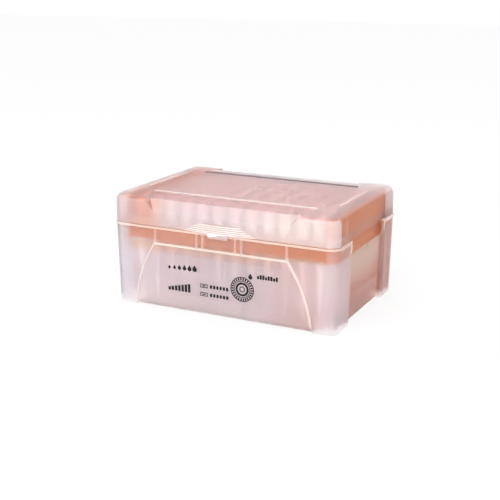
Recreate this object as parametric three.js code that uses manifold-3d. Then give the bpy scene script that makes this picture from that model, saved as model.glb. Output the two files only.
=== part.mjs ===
// A hinged box of 96 pipette tips: a milky polypropylene base and lid, an orange rack and its tips.
// Millimetres, +Z up, the front of the box faces -Y, and the box stands on its four corner feet.

import * as THREE from 'three';
import { mergeVertices } from 'three/addons/utils/BufferGeometryUtils.js';
import Module from 'manifold-3d';

const wasm = await Module();
wasm.setup();

// ---------------------------------------------------------------- driving dimensions

// The grid that tips are sold on, and the room the box leaves around it.
const pitch = 9;
const columns = 12;
const rows = 8;
const endMargin = 12.4;
const sideMargin = 11;

// One tip: a fluted head that sits on the rack, and a barrel that tapers in two stages.
const tipLength = 51.6;
const headLength = 10.7;
const headTopRadius = 3.5;
const headSeatRadius = 3.2;
const barrelTopRadius = 2.65;
const barrelKneeRadius = 1.25;
const barrelKneeHeight = 18;
const tipEndRadius = 0.5;
const orificeRadius = 0.25;
const mouthRadius = 2.75;

// Heights, from the table upwards.
const footHeight = 0.8;
const floorThickness = 1.2;
const tipFloorGap = 0.8;
const rimBelowDeck = 1.0;
const lidHeadroom = 2;
const lidTopThickness = 1.2;

// The moulded shells.
const cornerRadius = 5.5;
const baseWall = 1.4;
const lidWall = 1.2;
const draftAngle = 1.1;
const lidEdgeRadius = 4;
const seamGap = 0.25;

// The flange that the lid closes on, and the lip that stands up inside the lid.
const flangeThickness = 1.5;
const flangeReach = 0.3;
const flangeReturn = 6;
const flangeReturnWidth = 1;
const lipHeight = 2.9;
const lipWall = 1.05;
const lipClearance = 0.35;
const lipLean = 0.3;
const lipSeatDepth = 1.5;
const lipStepRoom = 0.9;

// The raised panel on the front and the back of the base.
const panelReach = 0.9;
const panelTopHalf = 36.8;
const panelBottomHalf = 49.4;
const panelBulge = 4.2;
const panelFootGap = 2;
const panelBelowRim = 8.1;
const panelEdge = 0.7;
const bandRibWidth = 1.4;
const bandRibPlaces = [36.3, 12.4, 9];

// The hollowed ends of the base, between the corner blocks, and the shallower ones of the lid.
const endRecessDepth = 2;
const endRecessHalf = 23;
const lidRecessDepth = 0.8;
const lidRecessHalf = 26;

// The stacking recesses on the front and the back of the lid.
const recessFloorHalf = 36.8;
const recessTopHalf = 45;
const recessAboveSeam = 7.2;
const recessLean = 3.2;
const recessFaceHeight = 6.4;
const platformHalf = 27.6;
const shelfRise = 0.5;

// Ribs on top of the lid that locate the next box.
const topRibWidth = 0.9;
const topRibHeight = 0.3;
const endRibInset = 8.3;
const endRibHalf = 18.8;
const gateRadius = 1.4;
const gateDepth = 0.3;

// The thumb grip and the latch tongue below it.
const gripRidges = 5;
const gripPitch = 0.92;
const gripRidge = 0.55;
const gripHalf = 20.5;
const gripTaper = 1.75;
const gripReach = 1.7;
const gripReachStep = 0.22;
const gripGroove = 0.35;
const tongueHalf = 5.6;
const tongueThickness = 0.9;
const tongueHang = 2.1;
const tongueGap = 0.25;
const tongueCorner = 1;

// The two snap hinges at the back.
const hingePlace = 32;
const hingeReach = 3.4;
const hingeDrop = 1;
const pinRadius = 1.5;
const pinClearance = 0.35;
const hookWall = 1.05;
const hookHalf = 5;
const hookSideGap = 1;
const hookMouth = 2.2;
const hookMouthTurn = -45;
const hookFoot = 0.2;
const hookGusset = 4;
const earThickness = 2;
const earRadius = 2.6;
const earArcFrom = -60;
const earArcTo = 90;
const earUnderRim = 0.1;
const pinSunk = 0.5;

// The rack that carries the tips.
const rackWall = 1.4;
const rackDeck = 1.5;
const rackEndGap = 0.6;
const rackSideGap = 4.3;
const rackCorner = 4;
const skirtDepth = 9.1;
const endSkirtDepth = 10;
const endWallHeight = 10.5;
const holeClearance = 0.3;
const supportWidth = 1.4;
const supportEndPlace = 29;
const supportInset = 0.2;

// How far a cutting solid runs past what it cuts, and how far one plate of a stack sinks into the next.
const past = 1;
const sunk = 0.05;

// Facets.
const cornerSteps = 5;
const edgeSteps = 4;
const curveSteps = 8;
const outerTipSides = 8;
const innerTipSides = 6;
const hingeSides = 16;

// ---------------------------------------------------------------- sizes that follow

const boxLength = (columns - 1) * pitch + 2 * endMargin;
const boxWidth = (rows - 1) * pitch + 2 * sideMargin;
const floorTop = footHeight + floorThickness;
const tipBottom = floorTop + tipFloorGap;
const deckTop = tipBottom + tipLength - headLength;
const rim = deckTop - rimBelowDeck;
const lidBottom = rim + seamGap;
const lidInnerTop = tipBottom + tipLength + lidHeadroom;
const lidTop = lidInnerTop + lidTopThickness;
const draft = Math.tan(THREE.MathUtils.degToRad(draftAngle));
const wallHalfLength = boxLength / 2 - flangeReach;
const wallHalfWidth = boxWidth / 2 - flangeReach;
const lipOuterInset = lidWall + lipClearance;
const panelTop = rim - panelBelowRim;
const rackHalfLength = wallHalfLength - endRecessDepth - baseWall - rackEndGap;
const rackHalfWidth = wallHalfWidth - baseWall - rackSideGap;
const skirtBottom = deckTop - skirtDepth;
const endSkirtBottom = deckTop - endSkirtDepth;
const endWallTop = deckTop + endWallHeight;
const hingeY = boxWidth / 2 + hingeReach;
const hingeZ = rim - hingeDrop;
const boreRadius = pinRadius + pinClearance;
const hookRadius = boreRadius + hookWall;
const gripFront = wallHalfWidth + gripReach;
const tongueFront = boxWidth / 2 + tongueGap + tongueThickness;
const frontReach = Math.max(gripFront, tongueFront);
const rearReach = hingeY + Math.max(hookRadius, earRadius);
const centreShift = (frontReach - rearReach) / 2;

// ---------------------------------------------------------------- solids

// A closed three.js geometry as a manifold solid, turned right side out.
function solidOf(geometry) {
  const plain = geometry.index ? geometry.toNonIndexed() : geometry.clone();
  plain.deleteAttribute('normal');
  plain.deleteAttribute('uv');
  const merged = mergeVertices(plain, 1e-4);
  const vertProperties = new Float32Array(merged.attributes.position.array);
  const triVerts = withoutSlivers(merged.index.array);
  if (signedVolume(vertProperties, triVerts) < 0) triVerts.reverse();
  return new wasm.Manifold(new wasm.Mesh({ numProp: 3, vertProperties, triVerts }));
}

function withoutSlivers(index) {
  const kept = [];
  for (let i = 0; i < index.length; i += 3) {
    const [a, b, c] = [index[i], index[i + 1], index[i + 2]];
    if (a !== b && b !== c && c !== a) kept.push(a, b, c);
  }
  return new Uint32Array(kept);
}

function signedVolume(points, index) {
  const corner = (i) => new THREE.Vector3().fromArray(points, 3 * index[i]);
  let volume = 0;
  for (let i = 0; i < index.length; i += 3) {
    volume += corner(i).dot(corner(i + 1).cross(corner(i + 2)));
  }
  return volume;
}

function geometryOf(solid) {
  const { vertProperties, triVerts } = solid.getMesh();
  const geometry = new THREE.BufferGeometry();
  geometry.setAttribute('position', new THREE.BufferAttribute(vertProperties, 3));
  geometry.setIndex(new THREE.BufferAttribute(triVerts, 1));
  geometry.computeVertexNormals();
  return geometry;
}

const join = (solids) => solids.reduce((all, solid) => all.add(solid));
const cut = (solid, tools) => tools.reduce((left, tool) => left.subtract(tool), solid);

// A box from its lowest to its highest corner.
function block(low, high) {
  const size = high.map((value, axis) => value - low[axis]);
  const centre = high.map((value, axis) => (value + low[axis]) / 2);
  return solidOf(new THREE.BoxGeometry(...size).translate(...centre));
}

// A cylinder along X between two stations.
function bar(radius, fromX, toX, y, z) {
  const geometry = new THREE.CylinderGeometry(radius, radius, toX - fromX, hingeSides);
  geometry.rotateZ(Math.PI / 2).rotateX(Math.PI / hingeSides);
  return solidOf(geometry.translate((fromX + toX) / 2, y, z));
}

// A cylinder along Z.
function post(radius, fromZ, toZ, x, y, sides) {
  const geometry = new THREE.CylinderGeometry(radius, radius, toZ - fromZ, sides);
  geometry.rotateX(Math.PI / 2);
  return solidOf(geometry.translate(x, y, (fromZ + toZ) / 2));
}

// One level of a moulded wall: a rectangle with round corners, every one with the same count of points.
function roundedRing({ halfX, halfY, radius, z }) {
  const ring = [];
  const centres = [[1, 1], [-1, 1], [-1, -1], [1, -1]];
  centres.forEach(([signX, signY], quarter) => {
    for (let step = 0; step <= cornerSteps; step++) {
      const angle = (quarter + step / cornerSteps) * Math.PI / 2;
      const x = signX * (halfX - radius) + radius * Math.cos(angle);
      const y = signY * (halfY - radius) + radius * Math.sin(angle);
      ring.push(new THREE.Vector3(x, y, z));
    }
  });
  return ring;
}

// A solid lofted through levels, with a flat cap at each end.
function loft(levels) {
  const rings = levels.map(roundedRing);
  const count = rings[0].length;
  const points = rings.flat();
  const index = [];
  for (let level = 0; level < rings.length - 1; level++) {
    for (let i = 0; i < count; i++) {
      const a = level * count + i;
      const b = level * count + (i + 1) % count;
      index.push(a, b, b + count, a, b + count, a + count);
    }
  }
  const bottomCentre = points.push(new THREE.Vector3(0, 0, levels[0].z)) - 1;
  const topCentre = points.push(new THREE.Vector3(0, 0, levels[levels.length - 1].z)) - 1;
  const topStart = (rings.length - 1) * count;
  for (let i = 0; i < count; i++) {
    const next = (i + 1) % count;
    index.push(bottomCentre, next, i, topCentre, topStart + i, topStart + next);
  }
  const geometry = new THREE.BufferGeometry().setFromPoints(points);
  geometry.setIndex(index);
  return solidOf(geometry);
}

// A straight prism with round corners.
function slab(halfX, halfY, radius, fromZ, toZ) {
  return loft([{ halfX, halfY, radius, z: fromZ }, { halfX, halfY, radius, z: toZ }]);
}

// An outline drawn in Y and Z, extruded along X.
function alongX(outline, fromX, toX) {
  const shape = new THREE.Shape(outline.map(([y, z]) => new THREE.Vector2(y, z)));
  const geometry = new THREE.ExtrudeGeometry(shape, { depth: toX - fromX, bevelEnabled: false });
  const turn = new THREE.Matrix4().makeBasis(
    new THREE.Vector3(0, 1, 0), new THREE.Vector3(0, 0, 1), new THREE.Vector3(1, 0, 0));
  return solidOf(geometry.applyMatrix4(turn).translate(fromX, 0, 0));
}

const mirroredY = (solid) => solid.mirror([0, 1, 0]);
const mirroredX = (solid) => solid.mirror([1, 0, 0]);

// ---------------------------------------------------------------- base

// The outer wall of the base leans in by its draft from the rim down to the feet.
function baseLevel(z, inset) {
  const lean = draft * (rim - z) + inset;
  return {
    halfX: wallHalfLength - lean,
    halfY: wallHalfWidth - lean,
    radius: cornerRadius - inset,
    z,
  };
}

// The panel outline in X and Z: a level top, and sides that swing out in a curve towards the feet.
function panelShape(inset) {
  const top = panelTop - inset;
  const bottom = panelFootGap + inset;
  const topHalf = panelTopHalf - inset;
  const bottomHalf = panelBottomHalf - inset;
  const side = new THREE.Vector2(bottomHalf - topHalf, bottom - top);
  const outward = new THREE.Vector2(-side.y, side.x).normalize().multiplyScalar(panelBulge);
  const controlX = (topHalf + bottomHalf) / 2 + outward.x;
  const controlZ = (top + bottom) / 2 + outward.y;
  const shape = new THREE.Shape();
  shape.moveTo(-topHalf, top);
  shape.quadraticCurveTo(-controlX, controlZ, -bottomHalf, bottom);
  shape.lineTo(bottomHalf, bottom);
  shape.quadraticCurveTo(controlX, controlZ, topHalf, top);
  shape.closePath();
  return shape;
}

// A panel-shaped slab between two depths measured from the sloping wall of the base.
function panelSlab(shape, innerDepth, outerDepth, edge) {
  const geometry = new THREE.ExtrudeGeometry(shape, {
    depth: outerDepth - innerDepth - edge,
    bevelEnabled: edge > 0,
    bevelThickness: edge,
    bevelSize: edge,
    bevelOffset: -edge,
    bevelSegments: 1,
    curveSegments: curveSteps,
  });
  const position = geometry.attributes.position;
  for (let i = 0; i < position.count; i++) {
    const height = position.getY(i);
    const depth = Math.max(position.getZ(i), 0) + innerDepth;
    const wallY = wallHalfWidth - draft * (rim - height);
    position.setXYZ(i, position.getX(i), -(wallY + depth), height);
  }
  return solidOf(geometry);
}

// The hollow that leaves the end walls of the base set in between the corner blocks.
function endRecess(inset, half, fromZ, toZ) {
  const faceAt = (z) => baseLevel(z, endRecessDepth + inset).halfX;
  const outside = boxLength / 2 + past;
  const outline = [[faceAt(fromZ), fromZ], [outside, fromZ], [outside, toZ], [faceAt(toZ), toZ]];
  const shape = new THREE.Shape(outline.map(([x, z]) => new THREE.Vector2(x, z)));
  const geometry = new THREE.ExtrudeGeometry(shape, { depth: 2 * half, bevelEnabled: false });
  return solidOf(geometry.rotateX(Math.PI / 2).translate(0, half, 0));
}

// A fin inside the wall whose top carries the skirt of the rack.
function rackSupports() {
  const reachY = rackHalfWidth - rackWall - supportInset;
  const reachX = rackHalfLength - rackWall - supportInset;
  const half = supportWidth / 2;
  const fins = [];
  for (const x of bandRibPlaces.slice(0, 2)) {
    fins.push(block([x - half, -wallHalfWidth, footHeight], [x + half, -reachY, skirtBottom]));
    fins.push(block([-x - half, -wallHalfWidth, footHeight], [half - x, -reachY, skirtBottom]));
  }
  const sideFins = fins.concat(fins.map(mirroredY));
  const low = [reachX, supportEndPlace - half, footHeight];
  const endFin = block(low, [wallHalfLength, supportEndPlace + half, endSkirtBottom]);
  const endFins = [endFin, mirroredY(endFin)];
  return join(sideFins.concat(endFins, endFins.map(mirroredX)));
}

function hingeEars() {
  const outline = [];
  for (let step = 0; step <= curveSteps; step++) {
    const turn = THREE.MathUtils.lerp(earArcFrom, earArcTo, step / curveSteps);
    const angle = THREE.MathUtils.degToRad(turn);
    outline.push([hingeY + earRadius * Math.cos(angle), hingeZ + earRadius * Math.sin(angle)]);
  }
  const root = wallHalfWidth - baseWall / 2;
  const top = rim - earUnderRim;
  outline.push([boxWidth / 2, top], [root, top], [root, hingeZ - 2 * earRadius]);
  const inner = hookHalf + hookSideGap;
  const outer = inner + earThickness;
  const pinHalf = outer - pinSunk;
  const ears = [
    alongX(outline, hingePlace - outer, hingePlace - inner),
    alongX(outline, hingePlace + inner, hingePlace + outer),
    bar(pinRadius, hingePlace - pinHalf, hingePlace + pinHalf, hingeY, hingeZ),
  ];
  return join(ears);
}

function bandRibs() {
  const half = bandRibWidth / 2;
  const ribs = bandRibPlaces.map((x) => {
    const low = [x - half, -(wallHalfWidth + panelReach / 2), panelTop - panelEdge];
    return block(low, [x + half, -(wallHalfWidth - baseWall / 2), rim - flangeThickness / 2]);
  });
  return join(ribs.concat(ribs.map(mirroredX)));
}

// The flange turns down for a short way beside each end recess.
function flangeReturns() {
  const low = [wallHalfLength - baseWall, endRecessHalf, rim - flangeReturn];
  const high = [boxLength / 2, endRecessHalf + flangeReturnWidth, rim];
  const oneEnd = block(low, high);
  const bothEnds = oneEnd.add(mirroredX(oneEnd));
  return bothEnds.add(mirroredY(bothEnds));
}

// The lip that stands inside the lid, and follows it round the shallow recess in each end.
function lidLip() {
  const level = (z, inset, lean) => ({
    halfX: wallHalfLength - lipOuterInset - inset - lean,
    halfY: wallHalfWidth - lipOuterInset - inset - lean,
    radius: cornerRadius - lipOuterInset - inset,
    z,
  });
  const top = rim + lipHeight;
  const foot = rim - lipSeatDepth / 2;
  const outer = loft([level(foot, 0, 0), level(rim, 0, 0), level(top, 0, lipLean)]);
  const inner = loft([level(rim - past, lipWall, 0), level(top + past, lipWall, lipLean)]);
  const half = lidRecessHalf + lipOuterInset + lipStepRoom;
  const outerRecess = lidEndRecess(lipOuterInset, half);
  const innerRecess = lidEndRecess(lipOuterInset + lipWall, half + lipWall);
  const outside = cut(outer, [outerRecess, mirroredX(outerRecess)]);
  const inside = cut(inner, [innerRecess, mirroredX(innerRecess)]);
  return outside.subtract(inside);
}

function makeBase() {
  const wall = loft([baseLevel(0, 0), baseLevel(rim, 0)]);
  const flange = slab(boxLength / 2, boxWidth / 2, cornerRadius, rim - flangeThickness, rim);
  const panel = panelSlab(panelShape(0), -baseWall / 2, panelReach, panelEdge);
  const ribs = bandRibs();
  const recess = endRecess(0, endRecessHalf, -past, rim + past);
  const outside = cut(
    join([wall, flange, flangeReturns(), panel, mirroredY(panel), ribs, mirroredY(ribs)]),
    [recess, mirroredX(recess)]);

  // The wall thickens inwards below the rim, on a 45 degree slope, to carry the lip.
  const seatInset = lipOuterInset + lipWall;
  const seatBottom = rim - lipSeatDepth;
  const hollow = loft([
    baseLevel(floorTop, baseWall),
    baseLevel(seatBottom - (seatInset - baseWall), baseWall),
    baseLevel(seatBottom, seatInset),
    baseLevel(rim + past, seatInset),
  ]);
  const keptBehindRecess = endRecess(baseWall, endRecessHalf + baseWall, 0, rim + 2 * past);
  const pocket = panelSlab(panelShape(baseWall), -2 * baseWall, panelReach - baseWall, 0);
  const inside = cut(hollow, [keptBehindRecess, mirroredX(keptBehindRecess)]);
  const shell = cut(outside, [inside, pocket, mirroredY(pocket)]);

  const supports = rackSupports().intersect(wall);
  const ears = hingeEars();
  const lengthways = block(
    [-panelBottomHalf, -boxWidth, -past], [panelBottomHalf, boxWidth, footHeight]);
  const crossways = block([-boxLength, -endRecessHalf, -past], [boxLength, endRecessHalf, footHeight]);
  const whole = join([shell, lidLip(), supports, ears, mirroredX(ears)]);
  return cut(whole, [lengthways, crossways]);
}

// ---------------------------------------------------------------- lid

// Levels of the lid from its open edge to the top, with a quarter round at the top edge.
function lidLevels(inset, topInset, bottom) {
  const radius = lidEdgeRadius - inset;
  const shoulder = lidTop - topInset - radius;
  const levels = [];
  for (let step = 0; step <= edgeSteps; step++) {
    const angle = (step / edgeSteps) * Math.PI / 2;
    const lean = draft * (shoulder - lidBottom) + inset + radius * (1 - Math.cos(angle));
    levels.push({
      halfX: wallHalfLength - lean,
      halfY: wallHalfWidth - lean,
      radius: cornerRadius - lean,
      z: shoulder + radius * Math.sin(angle),
    });
  }
  const edge = {
    halfX: wallHalfLength - inset,
    halfY: wallHalfWidth - inset,
    radius: cornerRadius - inset,
    z: bottom,
  };
  return [edge, ...levels];
}

// The shallow recess in an end wall of the lid.
function lidEndRecess(inset, half) {
  const low = [wallHalfLength - lidRecessDepth - inset, -half, lidBottom - 2 * past];
  return block(low, [boxLength / 2 + past, half, lidTop + past]);
}

// The stacking recess: a face that leans back, a sloping shelf and a step up to the top of the lid.
function stackingRecess(inset) {
  const start = lidBottom + recessAboveSeam;
  const faceTop = start + recessFaceHeight;
  const shelfEdge = wallHalfWidth - recessLean;
  const outside = boxWidth / 2 + past;
  const outline = [
    [-outside, start - inset],
    [-wallHalfWidth + inset, start - inset],
    [-shelfEdge + inset, faceTop - inset],
    [-platformHalf + inset, faceTop + shelfRise - inset],
    [-platformHalf + inset, lidTop + past],
    [-outside, lidTop + past],
  ];
  const flare = (recessTopHalf - recessFloorHalf) / (lidTop - start);
  const shape = new THREE.Shape(outline.map(([y, z]) => new THREE.Vector2(y, z)));
  const geometry = new THREE.ExtrudeGeometry(shape, { depth: 2, bevelEnabled: false });
  const position = geometry.attributes.position;
  for (let i = 0; i < position.count; i++) {
    const [y, z, side] = [position.getX(i), position.getY(i), position.getZ(i) - 1];
    const half = recessFloorHalf + flare * (z - start) + inset;
    position.setXYZ(i, side * half, y, z);
  }
  return solidOf(geometry);
}

// A flat plate that swells forward from the lid face in a shallow curve.
function lens(half, reach, fromZ, toZ) {
  const shape = new THREE.Shape();
  shape.moveTo(-half, 0);
  shape.quadraticCurveTo(0, -2 * reach, half, 0);
  shape.lineTo(half, lidWall / 2);
  shape.lineTo(-half, lidWall / 2);
  shape.closePath();
  const geometry = new THREE.ExtrudeGeometry(shape, {
    depth: toZ - fromZ, bevelEnabled: false, curveSegments: curveSteps,
  });
  return solidOf(geometry.translate(0, -(wallHalfWidth - lidWall / 4), fromZ));
}

function thumbGrip() {
  const plates = [];
  for (let ridge = 0; ridge < gripRidges; ridge++) {
    const foot = lidBottom + ridge * gripPitch;
    const half = gripHalf - ridge * gripTaper;
    const reach = gripReach - ridge * gripReachStep;
    plates.push(lens(half, reach + lidWall / 4, foot, foot + gripRidge));
    plates.push(lens(half, reach + lidWall / 4 - gripGroove, foot, foot + gripPitch + sunk));
  }
  return join(plates);
}

function latchTongue() {
  const bottom = rim - tongueHang;
  const top = lidBottom + gripPitch;
  const flat = tongueHalf - tongueCorner;
  const shape = new THREE.Shape();
  shape.moveTo(-tongueHalf, top);
  shape.lineTo(-tongueHalf, bottom + tongueCorner);
  shape.quadraticCurveTo(-tongueHalf, bottom, -flat, bottom);
  shape.lineTo(flat, bottom);
  shape.quadraticCurveTo(tongueHalf, bottom, tongueHalf, bottom + tongueCorner);
  shape.lineTo(tongueHalf, top);
  shape.closePath();
  const geometry = new THREE.ExtrudeGeometry(shape, {
    depth: tongueThickness, bevelEnabled: false, curveSegments: 2,
  });
  geometry.rotateX(Math.PI / 2).translate(0, -tongueFront + tongueThickness, 0);
  const root = block(
    [-tongueHalf, -tongueFront + tongueThickness / 2, lidBottom],
    [tongueHalf, -wallHalfWidth + lidWall / 2, top]);
  return solidOf(geometry).add(root);
}

// A C-shaped hook that snaps over the hinge pin, with the gusset that joins it to the lid wall.
function hingeHook() {
  const from = hingePlace - hookHalf;
  const to = hingePlace + hookHalf;
  const root = wallHalfWidth - lidWall / 2;
  const foot = lidBottom + hookFoot;
  const gusset = alongX([
    [root, foot],
    [hingeY - hookRadius / 2, foot],
    [hingeY, hingeZ + hookRadius],
    [root, hingeZ + hookRadius + hookGusset],
  ], from, to);
  const ring = bar(hookRadius, from, to, hingeY, hingeZ);
  const bore = bar(boreRadius, from - past, to + past, hingeY, hingeZ);
  const mouth = block(
    [from - past, 0, -hookMouth / 2], [to + past, 2 * hookRadius, hookMouth / 2]);
  const turned = mouth.rotate([hookMouthTurn, 0, 0]).translate([0, hingeY, hingeZ]);
  return cut(ring.add(gusset), [bore, turned]);
}

// Low ribs on top of the lid: one along each stacking recess, and one near each end.
function topRibs() {
  const half = topRibWidth / 2;
  const ribY = platformHalf - half;
  const ribX = wallHalfLength - endRibInset;
  const seat = lidTop - lidTopThickness / 2;
  const crest = lidTop + topRibHeight;
  const front = block([-recessTopHalf, -ribY - half, seat], [recessTopHalf, -ribY + half, crest]);
  const end = block([ribX - half, -endRibHalf, seat], [ribX + half, endRibHalf, crest]);
  return join([front, mirroredY(front), end, mirroredX(end)]);
}

function makeLid() {
  const outside = loft(lidLevels(0, 0, lidBottom));
  const inside = loft(lidLevels(lidWall, lidTopThickness, lidBottom - past));
  const recessesAt = (inset) => {
    const front = stackingRecess(inset);
    const end = lidEndRecess(inset, lidRecessHalf + inset);
    return [front, mirroredY(front), end, mirroredX(end)];
  };
  const hollow = cut(inside, recessesAt(lidWall));
  const shell = cut(outside, [...recessesAt(0), hollow]);
  const hook = hingeHook();
  const gate = post(gateRadius, lidTop - gateDepth, lidTop + past, 0, 0, outerTipSides);
  const lid = join([shell, thumbGrip(), latchTongue(), hook, mirroredX(hook), topRibs()]);
  return lid.subtract(gate);
}

// ---------------------------------------------------------------- tips and rack

// A tip on the Z axis with its end at z = 0. A sunk tip reaches into the deck that it is fused to.
function tipGeometry(sides, sunk) {
  const seat = tipLength - headLength - sunk;
  const profile = [
    [orificeRadius, 0],
    [tipEndRadius, 0],
    [barrelKneeRadius, barrelKneeHeight],
    [barrelTopRadius, seat],
    [headSeatRadius, seat],
    [headTopRadius, tipLength],
    [mouthRadius, tipLength],
    [orificeRadius, 0],
  ];
  const points = profile.map(([radius, height]) => new THREE.Vector2(radius, height));
  return new THREE.LatheGeometry(points, sides).rotateX(Math.PI / 2);
}

function gridPlaces() {
  const places = [];
  for (let row = 0; row < rows; row++) {
    for (let column = 0; column < columns; column++) {
      const atEdge = row === 0 || row === rows - 1 || column === 0 || column === columns - 1;
      places.push({
        name: `tip_${String.fromCharCode(65 + row)}${column + 1}`,
        x: (column - (columns - 1) / 2) * pitch,
        y: ((rows - 1) / 2 - row) * pitch,
        atEdge,
      });
    }
  }
  return places;
}

// The rack: a drilled deck, a skirt that hangs deeper at the ends, and tall end walls to lift it by.
function rackBody() {
  const prism = slab(rackHalfLength, rackHalfWidth, rackCorner, endSkirtBottom, endWallTop);
  const innerX = rackHalfLength - rackWall;
  const innerY = rackHalfWidth - rackWall;
  const corner = rackCorner - rackWall;
  const underDeck = slab(innerX, innerY, corner, endSkirtBottom - past, deckTop - rackDeck);
  const overDeck = slab(innerX, innerY, corner, deckTop, endWallTop + past);
  const openX = rackHalfLength - rackCorner;
  const above = block([-openX, -boxWidth, deckTop], [openX, boxWidth, endWallTop + past]);
  const below = block([-openX, -boxWidth, endSkirtBottom - past], [openX, boxWidth, skirtBottom]);
  return cut(prism, [underDeck, overDeck, above, below]);
}

// Edge tips get clearance holes. Inner holes are a little tight, so each tip there closes its own hole.
function makeRack(places) {
  const holes = places.map(({ x, y, atEdge }) => {
    const sides = atEdge ? outerTipSides : innerTipSides;
    const radius = barrelTopRadius + (atEdge ? holeClearance : -holeClearance / 2);
    return post(radius, deckTop - rackDeck - past, deckTop + past, x, y, sides);
  });
  const drilled = rackBody().subtract(join(holes));
  const tip = solidOf(tipGeometry(innerTipSides, rackDeck / 4));
  const inner = places.filter((place) => !place.atEdge);
  return join([drilled, ...inner.map(({ x, y }) => tip.translate([x, y, tipBottom]))]);
}

// ---------------------------------------------------------------- the scene graph

const milky = new THREE.MeshStandardMaterial({ color: 0xe8dcdf, roughness: 0.45, metalness: 0 });
const milkyLid = new THREE.MeshStandardMaterial({ color: 0xefe2e2, roughness: 0.4, metalness: 0 });
const orange = new THREE.MeshStandardMaterial({ color: 0xd2602a, roughness: 0.5, metalness: 0 });
const natural = new THREE.MeshStandardMaterial({ color: 0xf1ece6, roughness: 0.35, metalness: 0 });

function named(name, geometry, material) {
  const mesh = new THREE.Mesh(geometry, material);
  mesh.name = name;
  return mesh;
}

const places = gridPlaces();
const group = new THREE.Group();
group.position.y = centreShift;
group.add(named('base_box', geometryOf(makeBase()), milky));
group.add(named('lid', geometryOf(makeLid()), milkyLid));
group.add(named('tip_rack', geometryOf(makeRack(places)), orange));
const edgeTip = geometryOf(solidOf(tipGeometry(outerTipSides, 0)));
for (const { name, x, y, atEdge } of places) {
  if (!atEdge) continue;
  const tip = named(name, edgeTip, natural);
  tip.position.set(x, y, tipBottom);
  group.add(tip);
}

export default group;
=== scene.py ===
"""Looks of a hinged box of pipette tips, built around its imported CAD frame.

Lengths are in millimetres while a mesh is being made, and become metres when it is finished.
The box stands on z = 0, its latch faces -Y, and its left and right halves mirror each other in
shape. Their finishes differ a little, because their gradients stand for uneven light.
"""

import logging
import math
from dataclasses import dataclass, field, replace
from enum import Enum
from typing import Callable, Optional, Sequence, Union

import bmesh
import bpy
from mathutils import Matrix, Vector

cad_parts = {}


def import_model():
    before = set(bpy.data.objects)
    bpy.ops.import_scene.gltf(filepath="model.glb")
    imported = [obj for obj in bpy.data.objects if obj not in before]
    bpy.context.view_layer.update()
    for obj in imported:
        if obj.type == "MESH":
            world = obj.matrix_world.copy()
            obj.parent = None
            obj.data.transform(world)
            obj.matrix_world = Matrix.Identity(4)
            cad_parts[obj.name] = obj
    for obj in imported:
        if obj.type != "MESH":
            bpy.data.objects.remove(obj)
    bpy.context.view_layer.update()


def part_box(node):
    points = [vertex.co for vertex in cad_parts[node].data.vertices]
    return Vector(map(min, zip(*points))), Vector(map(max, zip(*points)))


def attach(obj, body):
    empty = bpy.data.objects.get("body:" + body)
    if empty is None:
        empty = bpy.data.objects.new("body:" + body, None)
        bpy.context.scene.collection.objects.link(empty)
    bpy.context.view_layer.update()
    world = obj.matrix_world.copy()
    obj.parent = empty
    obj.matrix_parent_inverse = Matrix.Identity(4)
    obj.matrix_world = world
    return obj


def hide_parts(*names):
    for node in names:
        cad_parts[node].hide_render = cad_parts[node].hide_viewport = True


LOG = logging.getLogger("tip_box")
MM = 0.001
GRAIN_DEPTH = 0.00005
QUARTER_STEPS = 12
EPSILON = 1e-4

Row = tuple[float, float, float]
Pair = tuple[float, float]
Setting = Union[float, int, bool, str, tuple, bpy.types.NodeSocket, bpy.types.Material]


# ------------------------------------------------------------------ small helpers


def linear(code: str) -> tuple[float, float, float, float]:
    """Turn an sRGB hex colour into the linear colour that shaders take.

    Args:
        code: Six hex digits.

    Returns:
        Red, green and blue between 0 and 1, and an alpha of 1.
    """
    shades = [int(code[i:i + 2], 16) / 255 for i in (0, 2, 4)]
    red, green, blue = (
        s / 12.92 if s <= 0.04045 else ((s + 0.055) / 1.055) ** 2.4 for s in shades)
    return red, green, blue, 1.0


def add_node(tree: bpy.types.NodeTree, kind: str, settings: Optional[dict] = None,
             inputs: Optional[dict[Union[str, int], Setting]] = None) -> bpy.types.Node:
    """Add a node, set its properties, and set or link its inputs.

    Args:
        tree: The tree that the node joins.
        kind: The node's type name.
        settings: Properties of the node.
        inputs: A value, or another node's output, for each named input.

    Returns:
        The new node.
    """
    node = tree.nodes.new(kind)
    for name, value in (settings or {}).items():
        setattr(node, name, value)
    for name, value in (inputs or {}).items():
        if isinstance(value, bpy.types.NodeSocket):
            tree.links.new(value, node.inputs[name])
        else:
            node.inputs[name].default_value = value
    return node


def calculate(tree: bpy.types.NodeTree, operation: str, first: Setting,
              second: Setting) -> bpy.types.NodeSocket:
    """Add a maths node and return its result."""
    return add_node(tree, "ShaderNodeMath", {"operation": operation}, {0: first, 1: second}).outputs[0]


def ramp(value: float, points: Sequence[Pair]) -> float:
    """Follow a polyline.

    Args:
        value: Where to read it.
        points: Its corners, in rising order of the first number.

    Returns:
        The height there, level beyond the first and the last corner.
    """
    if value <= points[0][0]:
        return points[0][1]
    for (left, low), (right, high) in zip(points, points[1:]):
        if value <= right:
            return low + (high - low) * (value - left) / (right - left)
    return points[-1][1]


def mix(low: float, high: float, share: float) -> float:
    """Return the value at a share of the way from low to high."""
    return low + (high - low) * share


def smooth(share: float) -> float:
    """Return an S-curve from 0 to 1, level at both ends."""
    share = min(max(share, 0.0), 1.0)
    return share * share * (3 - 2 * share)


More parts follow.
